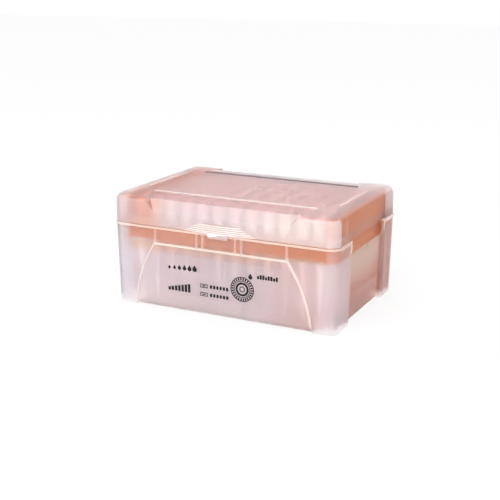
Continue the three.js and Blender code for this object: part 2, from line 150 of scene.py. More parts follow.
def arc(centre: Pair, radius: float, first: float, last: float, steps: int) -> list[Pair]:
    """List points along an arc.

    Args:
        centre: Its centre.
        radius: Its radius.
        first: The angle where it starts, in degrees.
        last: The angle where it ends, in degrees.
        steps: How many steps it takes.

    Returns:
        The points, one more than the steps.
    """
    angles = [math.radians(first + (last - first) * step / steps) for step in range(steps + 1)]
    return [(centre[0] + radius * math.cos(a), centre[1] + radius * math.sin(a)) for a in angles]


def ring(centre: Pair, radius: float, sides: int) -> list[Pair]:
    """List the corners of a regular polygon."""
    return arc(centre, radius, 0, 360, sides)[:-1]


def upright(across: float, along: float, distance: float) -> Row:
    """Place a point of an outline in plan that is extruded upwards."""
    return across, along, distance


def crosswise(along: float, height: float, distance: float) -> Row:
    """Place a point of an outline seen from the end that is extruded along the box."""
    return distance, along, height


# ------------------------------------------------------------------ sizes of the box


@dataclass(frozen=True)
class BoxSizes:
    """The sizes that the base, the lid, the rack and the tips share, as the CAD has them."""

    pitch: float = 9.0
    columns: int = 12
    rows: int = 8
    half_length: float = 61.6
    half_width: float = 42.2
    flange: float = 0.3
    corner: float = 5.5
    foot: float = 0.8
    floor: float = 2.0
    rim: float = 42.7
    lid_bottom: float = 42.95
    lid_top: float = 57.6
    base_wall: float = 1.4
    lid_wall: float = 1.2
    draft: float = math.tan(math.radians(1.1))
    tip_bottom: float = 2.8
    tip_length: float = 51.6
    head_length: float = 10.7
    hinge_place: float = 32.0
    hinge_y: float = 45.9
    hinge_z: float = 41.7
    pin: float = 1.5
    hook_half: float = 5.0
    recess_half: float = 23.0
    lid_recess_half: float = 26.0
    lid_recess_depth: float = 0.8

    @property
    def deck(self) -> float:
        """Height of the rack's deck."""
        return self.tip_bottom + self.tip_length - self.head_length


# ------------------------------------------------------------------ meshes


class Place(Enum):
    """The places of a moulding that look different."""

    OUTSIDE = "outside of the walls"
    INSIDE = "blasted inside of the walls"
    # THICK: pale lines, partly thick plastic, partly a painted highlight of the lamp.
    THICK = "ribs, rims and steps, where the plastic is thick"
    # END: the end walls are as thick as the rest; their clearer finish is painted shade, less of the
    # lamp's veil.
    END_OUTSIDE = "outside of the thinner end walls"
    END_INSIDE = "inside of the thinner end walls"
    TOP_OUTSIDE = "outside of a flat top"
    TOP_INSIDE = "inside of a flat top"
    PANEL_OUTSIDE = "outside of the milkier walls below the ledges"
    PANEL_INSIDE = "inside of the milkier walls below the ledges"
    BACK_EDGE = "rib and riser of the stacking shelf at the back"
    FIN = "thin fins deep inside"
    # RIB: partly thick plastic, partly a painted highlight of the lamp.
    RIB = "upright ribs of the band, and ridges of the grip"
    # CORNER: a lit copy of the walls' finish, painted light on the corner that faces the lamp.
    CORNER_OUTSIDE = "outside of the rounded corner at the front right"
    CORNER_INSIDE = "inside of the rounded corner at the front right"


class Run(Enum):
    """The three kinds of stretch in a quarter of the box's outline."""

    LONG = "front or back"
    CORNER = "round corner"
    END = "end wall"


@dataclass(frozen=True)
class Station:
    """One upright line of a shell.

    place is a share of the guide line on a long side, where 1 is the guide and 2 the corner.
    It is an angle in degrees in a corner, and a distance from the middle on an end wall.
    """

    run: Run
    place: float


@dataclass(frozen=True)
class Outline:
    """A rectangle with round corners, which shrinks by an inset."""

    half_x: float
    half_y: float
    corner: float

    def depth(self, x: float, y: float) -> float:
        """Tell how deep inside the outline a point of the plan lies.

        Args:
            x: Its place along the box.
            y: Its place across the box.

        Returns:
            The depth, negative outside.
        """
        x, y = abs(x) - self.half_x + self.corner, abs(y) - self.half_y + self.corner
        if x > 0 and y > 0:
            return self.corner - math.hypot(x, y)
        return self.corner - max(x, y)

    def point(self, station: Station, inset: float, guide: float) -> Pair:
        """Place a station in the positive quarter.

        Args:
            station: Which upright line.
            inset: How far it stands inside the outline.
            guide: Where the guide line crosses this height, on a long side.

        Returns:
            Its x and y.
        """
        pivot_x, pivot_y = self.half_x - self.corner, self.half_y - self.corner
        if station.run is Run.LONG:
            share = station.place
            x = share * guide if share <= 1 else mix(guide, pivot_x, share - 1)
            return x, self.half_y - inset
        if station.run is Run.CORNER:
            angle, reach = math.radians(station.place), self.corner - inset
            return pivot_x + reach * math.sin(angle), pivot_y + reach * math.cos(angle)
        return self.half_x - inset, station.place


class Solid:
    """A closed mesh in millimetres that can be joined with others, cut by them, and finished."""

    def __init__(self, mesh: bmesh.types.BMesh) -> None:
        """Keep a mesh with its faces turned outwards.

        Args:
            mesh: A closed mesh in millimetres.
        """
        if mesh.calc_volume(signed=True) < 0:
            bmesh.ops.reverse_faces(mesh, faces=mesh.faces)
        self.mesh = mesh

    @classmethod
    def shell(cls, outline: Outline, stations: Sequence[Station],
              rows_at: Callable[[Station], list[Row]]) -> "Solid":
        """Skin a shell through upright lines all the way round.

        Args:
            outline: The plan of the shell.
            stations: The lines of one quarter, from the middle of the front to that of the end.
            rows_at: The inset, height and guide of each point of a line.

        Returns:
            The shell, with a flat cap on its first row and on its last.
        """
        mesh = bmesh.new()
        columns = []
        quarters = ((1, -1, False), (1, 1, True), (-1, 1, False), (-1, -1, True))
        for sign_x, sign_y, backwards in quarters:
            ordered = list(reversed(stations)) if backwards else list(stations)
            for station in ordered[1:]:
                column = []
                for inset, height, guide in rows_at(station):
                    x, y = outline.point(station, inset, guide)
                    column.append(mesh.verts.new((sign_x * x, sign_y * y, height)))
                columns.append(column)
        for here, there in zip(columns, columns[1:] + columns[:1]):
            for low in range(len(here) - 1):
                mesh.faces.new((here[low], there[low], there[low + 1], here[low + 1]))
        caps = [mesh.faces.new([column[end] for column in columns]) for end in (0, -1)]
        mesh.faces.ensure_lookup_table()
        caps[0].normal_flip()
        bmesh.ops.triangulate(mesh, faces=caps)
        return cls(mesh)

    @classmethod
    def extruded(cls, outline: Sequence[Pair], place: Callable[[float, float, float], tuple],
                 stations: Sequence[Pair]) -> "Solid":
        """Extrude a flat outline.

        Args:
            outline: Its corners.
            place: Turns the two numbers of a corner and a distance into x, y and z.
            stations: Distances along the extrusion, each with a growth of the outline there.

        Returns:
            The solid, with a flat cap at each end.
        """
        mesh = bmesh.new()
        count = len(outline)
        centre = Vector((sum(a for a, _ in outline), sum(b for _, b in outline))) / count
        rings = []
        for distance, growth in stations:
            level = []
            for index in range(count):
                before, here, after = (
                    Vector(outline[(index + step) % count]) for step in (-1, 0, 1))
                outward = Solid.corner_normal(before, here, after, centre)
                a, b = here + outward * growth
                level.append(mesh.verts.new(place(a, b, distance)))
            rings.append(level)
        for low, high in zip(rings, rings[1:]):
            for index in range(count):
                after = (index + 1) % count
                mesh.faces.new((low[index], low[after], high[after], high[index]))
        caps = [mesh.faces.new(list(reversed(rings[0]))), mesh.faces.new(rings[-1])]
        bmesh.ops.triangulate(mesh, faces=caps)
        return cls(mesh)

    @staticmethod
    def corner_normal(before: Vector, here: Vector, after: Vector, centre: Vector) -> Vector:
        """Tell how a corner moves as its outline grows.

        Args:
            before: The corner before it.
            here: The corner.
            after: The corner after it.
            centre: The middle of the outline.

        Returns:
            The corner's move for a growth of one.
        """
        first, second = (here - before).normalized(), (after - here).normalized()
        normals = [Vector((edge.y, -edge.x)) for edge in (first, second)]
        total = normals[0] + normals[1]
        outward = total / max(total.dot(normals[0]), 0.3)
        return outward if outward.dot(here - centre) >= 0 else -outward

    @classmethod
    def block(cls, low: Sequence[float], high: Sequence[float], round_by: float = 0.0) -> "Solid":
        """Make a box.

        Args:
            low: Its lowest corner.
            high: Its highest corner.
            round_by: The rounding of its upright and top edges.

        Returns:
            The box.
        """
        outline = [(low[0], low[1]), (high[0], low[1]), (high[0], high[1]), (low[0], high[1])]
        solid = cls.extruded(outline, upright, [(low[2], 0.0), (high[2], 0.0)])
        if round_by:
            edges = [edge for edge in solid.mesh.edges if edge.calc_face_angle(0) > 1
                     and max(vert.co.z for vert in edge.verts) > low[2] + EPSILON]
            bmesh.ops.bevel(solid.mesh, geom=edges, offset=round_by, segments=2,
                            affect="EDGES", profile=0.5)
        return solid

    @classmethod
    def plate(cls, outline: Sequence[Pair], low: float, high: float, edge: float) -> "Solid":
        """Extrude an outline along the box.

        Args:
            outline: Its corners, in y and z.
            low: Where it starts.
            high: Where it ends.
            edge: How far it is drawn in at both ends.

        Returns:
            The plate.
        """
        slope = 0.2
        return cls.extruded(outline, crosswise, [
            (low, -edge), (low + slope, 0), (high - slope, 0), (high, -edge)])

    def mirrored(self, axis: str) -> "Solid":
        """Mirror the solid.

        Args:
            axis: x for end to end, or y for front to back.

        Returns:
            A mirrored copy.
        """
        flip = Matrix.Diagonal((-1 if axis == "x" else 1, -1 if axis == "y" else 1, 1, 1))
        twin = self.mesh.copy()
        bmesh.ops.transform(twin, matrix=flip, verts=twin.verts)
        return Solid(twin)

    def loose(self) -> bpy.types.Object:
        """Put the solid in the scene for a while.

        Returns:
            A scratch object, which uses the solid up.
        """
        data = bpy.data.meshes.new("scratch")
        self.mesh.to_mesh(data)
        self.mesh.free()
        scratch = bpy.data.objects.new("scratch", data)
        bpy.context.scene.collection.objects.link(scratch)
        return scratch

    def combined(self, others: Sequence["Solid"], operation: str) -> "Solid":
        """Join other solids on, or cut them away.

        Args:
            others: The other solids, which are used up.
            operation: UNION or DIFFERENCE.

        Returns:
            The result.
        """
        body = self.loose()
        tools = [other.loose() for other in others]
        for tool in tools:
            step = body.modifiers.new("combine", "BOOLEAN")
            step.operation, step.solver, step.object = operation, "MANIFOLD", tool
        bpy.context.view_layer.update()
        result = body.evaluated_get(bpy.context.evaluated_depsgraph_get())
        mesh = bmesh.new()
        mesh.from_mesh(result.data)
        for scratch in [body, *tools]:
            data = scratch.data
            bpy.data.objects.remove(scratch)
            bpy.data.meshes.remove(data)
        return Solid(mesh)

    def finished(self, name: str, finishes: dict[Place, "Finish"], shift: float,
                 pick: Optional[Callable[[Vector, Vector], Place]] = None) -> bpy.types.Object:
        """Turn the solid into a piece of the scene.

        Args:
            name: The piece's name.
            finishes: Its finish at each place.
            shift: How far the box's centre stands from the frame's, along Y.
            pick: Tells a face's place from its middle and its normal.

        Returns:
            The piece, in metres, with its place in its mesh.
        """
        if pick:
            order = list(finishes)
            self.mesh.normal_update()
            for face in self.mesh.faces:
                face.material_index = order.index(pick(face.calc_center_median(), face.normal))
        place = Matrix.Scale(MM, 4) @ Matrix.Translation((0, shift, 0))
        bmesh.ops.transform(self.mesh, matrix=place, verts=self.mesh.verts)
        data = bpy.data.meshes.new(name)
        self.mesh.to_mesh(data)
        self.mesh.free()
        for finish in finishes.values():
            data.materials.append(finish.material())
        data.shade_smooth()
        data.set_sharp_from_angle(angle=math.radians(32))
        piece = bpy.data.objects.new(name, data)
        bpy.context.scene.collection.objects.link(piece)
        weighted = piece.modifiers.new("even_shading", "WEIGHTED_NORMAL")
        weighted.keep_sharp = True
        return piece


# ------------------------------------------------------------------ finishes


def start_material(name: str, inputs: dict[str, float]) -> tuple[
        bpy.types.Material, bpy.types.Node, bpy.types.NodeSocket]:
    """Start a material.

    Args:
        name: Its name.
        inputs: Values of its shader's inputs that stay the same all over.

    Returns:
        The material, its shader, and the place on the object that patterns follow.
    """
    material = bpy.data.materials.new(name)
    material.use_nodes = True
    shader = material.node_tree.nodes["Principled BSDF"]
    for title, value in inputs.items():
        shader.inputs[title].default_value = value
    return material, shader, add_node(material.node_tree, "ShaderNodeTexCoord").outputs["Object"]


def noise(place: bpy.types.NodeSocket, size: float, detail: float) -> bpy.types.NodeSocket:
    """Add clouds about so many millimetres across, and return their strength."""
    return add_node(place.id_data, "ShaderNodeTexNoise", inputs={
        "Vector": place, "Scale": 1 / (size * MM), "Detail": detail}).outputs["Fac"]


def blend(share: bpy.types.NodeSocket, first: Setting, second: Setting) -> bpy.types.NodeSocket:
    """Mix two colours by a share."""
    return add_node(share.id_data, "ShaderNodeMixRGB", inputs={
        "Fac": share, "Color1": first, "Color2": second}).outputs["Color"]


def mapped(value: bpy.types.NodeSocket, source: Pair = (0.0, 1.0), target: Pair = (0.0, 1.0),
           course: str = "LINEAR") -> bpy.types.NodeSocket:
    """Map a value from one range to another.

    Args:
        value: The value.
        source: The range that it comes from.
        target: The range that it goes to.
        course: How it runs between them.

    Returns:
        The mapped value, held at the ends of the range.
    """
    return add_node(value.id_data, "ShaderNodeMapRange", {"interpolation_type": course}, {
        "Value": value, "From Min": source[0], "From Max": source[1],
        "To Min": target[0], "To Max": target[1]}).outputs["Result"]


def add_grain(shader: bpy.types.Node, place: bpy.types.NodeSocket, size: float,
              strength: float) -> None:
    """Give a shader the bump of a blasted mould.

    Args:
        shader: The shader.
        place: The place on the object.
        size: How many millimetres across the grains are.
        strength: How strong the bump is.
    """
    tree = place.id_data
    bump = add_node(tree, "ShaderNodeBump", inputs={
        "Strength": strength, "Distance": GRAIN_DEPTH, "Height": noise(place, size, 1.0)})
    tree.links.new(bump.outputs["Normal"], shader.inputs["Normal"])


def paint(shader: bpy.types.Node, colour: bpy.types.NodeSocket,
          roughness: bpy.types.NodeSocket) -> None:
    """Link a colour and a roughness to a shader."""
    colour.id_data.links.new(colour, shader.inputs["Base Color"])
    colour.id_data.links.new(roughness, shader.inputs["Roughness"])


def scaled(colour: str, share: float) -> tuple[float, ...]:
    """Return a linear colour made darker or paler by a share."""
    return (*(shade * share for shade in linear(colour)[:3]), 1.0)


@dataclass(frozen=True)
class PaintedLight:
    """Painted light and shade on a wall, between two places on an axis.

    The bands stand for the glow of the dyed rack, the veil of the lamp and shade. The places are in
    millimetres. A scattering wall would gather the colour by itself.
    """

    axis: str
    start: float
    full: float
    colour: str


@dataclass(frozen=True)
class MilkyPolypropylene:
    """Natural polypropylene, moulded against a finely blasted steel.

    Light goes through it but spreads, so what lies against it shows and what lies deeper blurs.
    """

    name: str
    colour: str
    clarity: float
    roughness: float
    cloud: float
    # Bands of painted light and shade.
    painted_light: tuple[PaintedLight, ...] = ()
    grain: float = 0.02
    ior: float = 1.15
    sheen: float = 0.2

    def material(self) -> bpy.types.Material:
        """Build the shader.

        Returns:
            The material.
        """
        material, shader, place = start_material(self.name, {
            "Transmission Weight": self.clarity, "IOR": self.ior, "Specular IOR Level": self.sheen})
        # Flow of the melt: soft clouds about 25 mm across.
        flow = noise(place, 25.0, 2.0)
        tint = blend(flow, linear(self.colour), scaled(self.colour, 1 - self.cloud))
        axes = add_node(material.node_tree, "ShaderNodeSeparateXYZ", inputs={"Vector": place}).outputs
        # Painted light and shade: bands of colour along the axes, standing for light and shade that
        # fall on the wall.
        for glow in self.painted_light:
            share = mapped(axes[glow.axis], (glow.start * MM, glow.full * MM), course="SMOOTHSTEP")
            tint = blend(share, tint, linear(glow.colour))
        paint(shader, tint, mapped(flow, target=(self.roughness - 0.02, self.roughness + 0.03)))
        # Blasted texture of the mould, drawn at 0.5 mm because the real 0.05 mm is too fine to show.
        add_grain(shader, place, 0.5, self.grain)
        return material


@dataclass(frozen=True)
class NaturalTips:
    """Undyed white polypropylene of the tips, with the glow of the rack that they stand in painted on.

    Pale and satin below, with the painted glow warmest at the rims of the heads, which crowd over the
    dyed deck.
    """

    name: str
    # Colour stops up the tips: white, with the rack's glow painted on near the deck.
    heights: tuple[tuple[float, str], ...]
    painted_end_glow: str
    roughness: float = 0.35
    span: float = 60.0
    cloud_size: float = 100 / 11
    end_glow_reach: Pair = (-36.0, -46.0)
    head_glow_rise: Pair = (41.0, 45.0)

    def material(self) -> bpy.types.Material:
        """Build the shader.

        Returns:
            The material.
        """
        material, shader, place = start_material(self.name, {})
        tree = material.node_tree
        axes = add_node(tree, "ShaderNodeSeparateXYZ", inputs={"Vector": place}).outputs
        # Painted glow of the rack up the tips: the ramp spans their height from the bench.
        rise = calculate(tree, "DIVIDE", axes["Z"], self.span * MM)
        glow = add_node(tree, "ShaderNodeValToRGB", inputs={"Fac": rise})
        stops = glow.color_ramp.elements
        # All stops come first, because a new one moves those already taken hold of.
        for _ in self.heights[2:]:
            stops.new(1.0)
        for stop, (height, colour) in zip(stops, self.heights):
            stop.position, stop.color = height / self.span, linear(colour)
        # Painted glow of the rack's end wall on the heads beside it, at the left end only, on the side
        # away from the light.
        near, above = (mapped(axes[axis], (start * MM, full * MM))
                       for axis, (start, full) in (("X", self.end_glow_reach), ("Z", self.head_glow_rise)))
        colour = blend(calculate(tree, "MULTIPLY", near, above), glow.outputs["Color"],
                       linear(self.painted_end_glow))
        # Slight differences of wall thickness from tip to tip, which stand 9 mm apart.
        wall = noise(place, self.cloud_size, 1.0)
        paint(shader, colour, mapped(wall, target=(self.roughness - 0.06, self.roughness + 0.06)))
        return material


@dataclass(frozen=True)
class DyedPolypropylene:
    """Opaque dyed polypropylene with the satin of a fine mould."""

    name: str
    colour: str
    shade: str
    roughness: float

    def material(self) -> bpy.types.Material:
        """Build the shader.

        Returns:
            The material.
        """
        material, shader, place = start_material(self.name, {"IOR": 1.49, "Specular IOR Level": 0.25})
        # Pigment that spreads unevenly, in streaks about 12 mm long.
        streaks = noise(place, 12.5, 3.0)
        paint(shader, blend(streaks, linear(self.colour), linear(self.shade)),
              mapped(streaks, target=(self.roughness - 0.05, self.roughness + 0.05)))
        # Blasted texture of the mould, drawn at 0.4 mm because the real 0.05 mm is too fine to show.
        add_grain(shader, place, 0.4, 0.06)
        return material


@dataclass(frozen=True)
class PrintedInk:
    """Dark screen-printed ink in a thin matt film."""

    name: str
    colour: str
    roughness: float

    def material(self) -> bpy.types.Material:
        """Build the shader.

        Returns:
            The material.
        """
        material, shader, place = start_material(self.name, {"Specular IOR Level": 0.3})
        # Mesh of the printing screen, which leaves the film thinner at spots 0.8 mm apart.
        screen = noise(place, 0.8, 1.0)
        paint(shader, blend(screen, linear(self.colour), scaled(self.colour, 1.4)),
              mapped(screen, target=(self.roughness - 0.05, self.roughness + 0.05)))
        return material


Finish = Union[MilkyPolypropylene, NaturalTips, DyedPolypropylene, PrintedInk]


def both_faces(places: tuple[Place, Place], outer: MilkyPolypropylene, inner_name: str,
               inner_roughness: float) -> dict[Place, MilkyPolypropylene]:
    """Finish the two faces of a wall.

    Args:
        places: Its outside and its inside.
        outer: The finish outside.
        inner_name: The name of the finish inside, which is the same but blasted.
        inner_roughness: Its roughness.

    Returns:
        The finish at each place.
    """
    return {places[0]: outer, places[1]: replace(outer, name=inner_name, roughness=inner_roughness)}


def base_finishes() -> dict[Place, MilkyPolypropylene]:
    """List the finishes of the base.

    Returns:
        The finish at each place, in the order of the material slots.
    """
    # Painted light and shade: the rack's warm glow about the ledge, on the right and low on the end
    # walls; paler towards the left, the corners and the foot, where the lamp's veil falls; and shade
    # towards the back of the end walls.
    band = (PaintedLight("Z", 37, 35.6, "f6d4c6"), PaintedLight("X", -20, -60, "f6ecee"), PaintedLight("X", 5, 50, "f3e0d2"))
    panel = (PaintedLight("Z", 27, 33.5, "f6ddd2"), PaintedLight("Z", 16, 2, "fff6f7"), PaintedLight("X", -46, -60, "f8f4f8"),
             PaintedLight("X", 10, 44, "f8e8e8"), PaintedLight("X", 46, 59, "f9f0f2"))
    end = (PaintedLight("Z", 30, 8, "e6b2a2"), PaintedLight("Y", 16, 26, "dcc0ba"))
    return {
        # Milky moulded polypropylene over the rack: the dyed band shows through it, softened.
        **both_faces((Place.OUTSIDE, Place.INSIDE),
                     MilkyPolypropylene("satin_polypropylene_base", "faf0ec", 0.88, 0.35, 0.04, band),
                     "blasted_polypropylene_base", 0.8),
        # The same plastic below the ledges: cooler and milkier, with the tips as soft stripes.
        **both_faces((Place.PANEL_OUTSIDE, Place.PANEL_INSIDE),
                     MilkyPolypropylene("milky_polypropylene_base", "f8f1f6", 0.86, 0.35, 0.04, panel),
                     "milky_blasted_polypropylene_base", 0.95),
        # Moulded edges seen along their depth: pale lines, partly where the plastic piles up and partly
        # a painted highlight of the lamp.
        Place.THICK: MilkyPolypropylene("thick_polypropylene_base", "fff3ea", 0.55, 0.35, 0.02),
        # Moulded ribs of the band: half-clear upright lines, their paleness partly a painted highlight.
        Place.RIB: MilkyPolypropylene("ribbed_polypropylene_base", "fff4f0", 0.76, 0.35, 0.02),
        # Thin moulded fins, which hardly show through the wall.
        Place.FIN: MilkyPolypropylene("clear_polypropylene_fins", "ffffff", 1.0, 0.6, 0.0, ior=1.04),
        # Moulded end walls, as thick as the rest: a clearer copy of the finish, painted shade that
        # stands for less of the lamp's veil on the ends, with the rack's warm glow and shade painted
        # on.
        **both_faces((Place.END_OUTSIDE, Place.END_INSIDE),
                     MilkyPolypropylene("end_shade_polypropylene_base", "fff0e4", 0.975, 0.3, 0.04, end),
                     "end_shade_blasted_polypropylene_base", 0.65),
    }


def lid_finishes() -> dict[Place, MilkyPolypropylene]:
    """List the finishes of the lid.

    Returns:
        The finish at each place, in the order of the material slots.
    """
    # Painted light and shade: the rack's warm glow near the left end and shade at the left corner, on
    # the walls and the top; paler walls towards the right, where the lamp falls; shade towards the back
    # of the end walls.
    front = (PaintedLight("X", -30, -40, "f5ddd5"), PaintedLight("X", -44, -57, "ebdde2"), PaintedLight("X", 0, 40, "faf4f3"))
    top = (PaintedLight("X", -42, -50, "f9e0da"), PaintedLight("X", -55, -60, "f0e6ee"))
    end = (PaintedLight("Y", 14, 30, "ebdfe1"),)
    return {
        # Milky moulded polypropylene walls: a pale veil over the heads of the tips.
        **both_faces((Place.OUTSIDE, Place.INSIDE),
                     MilkyPolypropylene("satin_polypropylene_lid", "f5eef0", 0.71, 0.35, 0.03, front),
                     "blasted_polypropylene_lid", 0.95),
        # Moulded ribs on top: pale lines, partly a painted highlight of the lamp.
        Place.THICK: MilkyPolypropylene("thick_polypropylene_lid", "fff6f0", 0.45, 0.3, 0.02),
        # Moulded ridges of the grip: the whitest lines of all, between see-through grooves; partly
        # thick plastic, partly a painted highlight of the lamp.
        Place.RIB: MilkyPolypropylene("ridged_polypropylene_lid", "fffaf6", 0.2, 0.3, 0.02),
        # Painted light: a lit copy of the walls' finish, milkier and whiter, on the front right corner
        # that faces the lamp.
        **both_faces((Place.CORNER_OUTSIDE, Place.CORNER_INSIDE),
                     MilkyPolypropylene("lit_corner_polypropylene_lid", "fbf3f4", 0.68, 0.35, 0.03),
                     "lit_corner_blasted_polypropylene_lid", 0.95),
        # Moulded end walls, as thick as the rest: a clearer copy of the finish, painted shade that
        # stands for less of the lamp's veil on the ends, so the rack's tall end shows through them in
        # full colour.
        **both_faces((Place.END_OUTSIDE, Place.END_INSIDE),
                     MilkyPolypropylene("end_shade_polypropylene_lid", "fdf1ea", 0.975, 0.3, 0.03, end),
                     "end_shade_blasted_polypropylene_lid", 0.6),
        # Rib and riser of the rear stacking shelf, tinted dark to stand for a dark reflection.
        Place.BACK_EDGE: MilkyPolypropylene("shaded_polypropylene_lid", "5e4254", 0.15, 0.4, 0.03),
        # Moulded flat top: clear enough for a blush of the tips and the rack.
        **both_faces((Place.TOP_OUTSIDE, Place.TOP_INSIDE),
                     MilkyPolypropylene("clear_polypropylene_lid", "fdf4f6", 0.9, 0.3, 0.03, top),
                     "clear_blasted_polypropylene_lid", 0.6),
    }


# ------------------------------------------------------------------ repeats


def start_repeat(name: str, inputs: dict[str, str]) -> tuple[
        bpy.types.NodeTree, bpy.types.bpy_prop_collection]:
    """Start a Geometry Nodes tree that repeats the geometry it is given.

    Args:
        name: The tree's name.
        inputs: The socket type of each of its named inputs.

    Returns:
        The tree, and the sockets that carry its inputs.
    """
    tree = bpy.data.node_groups.new(name, "GeometryNodeTree")
    face = tree.interface
    for title, kind in {"Geometry": "Geometry", **inputs}.items():
        face.new_socket(title, in_out="INPUT", socket_type=f"NodeSocket{kind}")
    face.new_socket("Geometry", in_out="OUTPUT", socket_type="NodeSocketGeometry")
    return tree, add_node(tree, "NodeGroupInput").outputs


def end_repeat(geometry: bpy.types.NodeSocket, finish: bpy.types.NodeSocket) -> None:
    """End a Geometry Nodes tree: realize what it made, finish it and put it out.

    Args:
        geometry: What the tree made.
        finish: The socket that carries its material.
    """
    tree = geometry.id_data
    real = add_node(tree, "GeometryNodeRealizeInstances", inputs={"Geometry": geometry})
    dressed = add_node(tree, "GeometryNodeSetMaterial", inputs={
        "Geometry": real.outputs["Geometry"], "Material": finish})
    add_node(tree, "NodeGroupOutput", inputs={"Geometry": dressed.outputs["Geometry"]})


def stamped(source: bpy.types.Object, tree: bpy.types.NodeTree, values: dict[str, Setting],
            name: str) -> bpy.types.Object:
    """Run a Geometry Nodes tree over a scratch object and keep what it makes.

    Args:
        source: The scratch object, which is used up.
        tree: The tree.
        values: The value of each of its named inputs.
        name: The new piece's name.

    Returns:
        The piece, with its place in its mesh.
    """
    repeat = source.modifiers.new(name, "NODES")
    repeat.node_group = tree
    for item in tree.interface.items_tree:
        if item.in_out == "INPUT" and item.name in values:
            repeat[item.identifier] = values[item.name]
    bpy.context.view_layer.update()
    graph = bpy.context.evaluated_depsgraph_get()
    data = bpy.data.meshes.new_from_object(source.evaluated_get(graph))
    bpy.data.objects.remove(source)
    data.name = name
    data.shade_smooth()
    data.set_sharp_from_angle(angle=math.radians(40))
    piece = bpy.data.objects.new(name, data)
    bpy.context.scene.collection.objects.link(piece)
    return piece


# ------------------------------------------------------------------ base


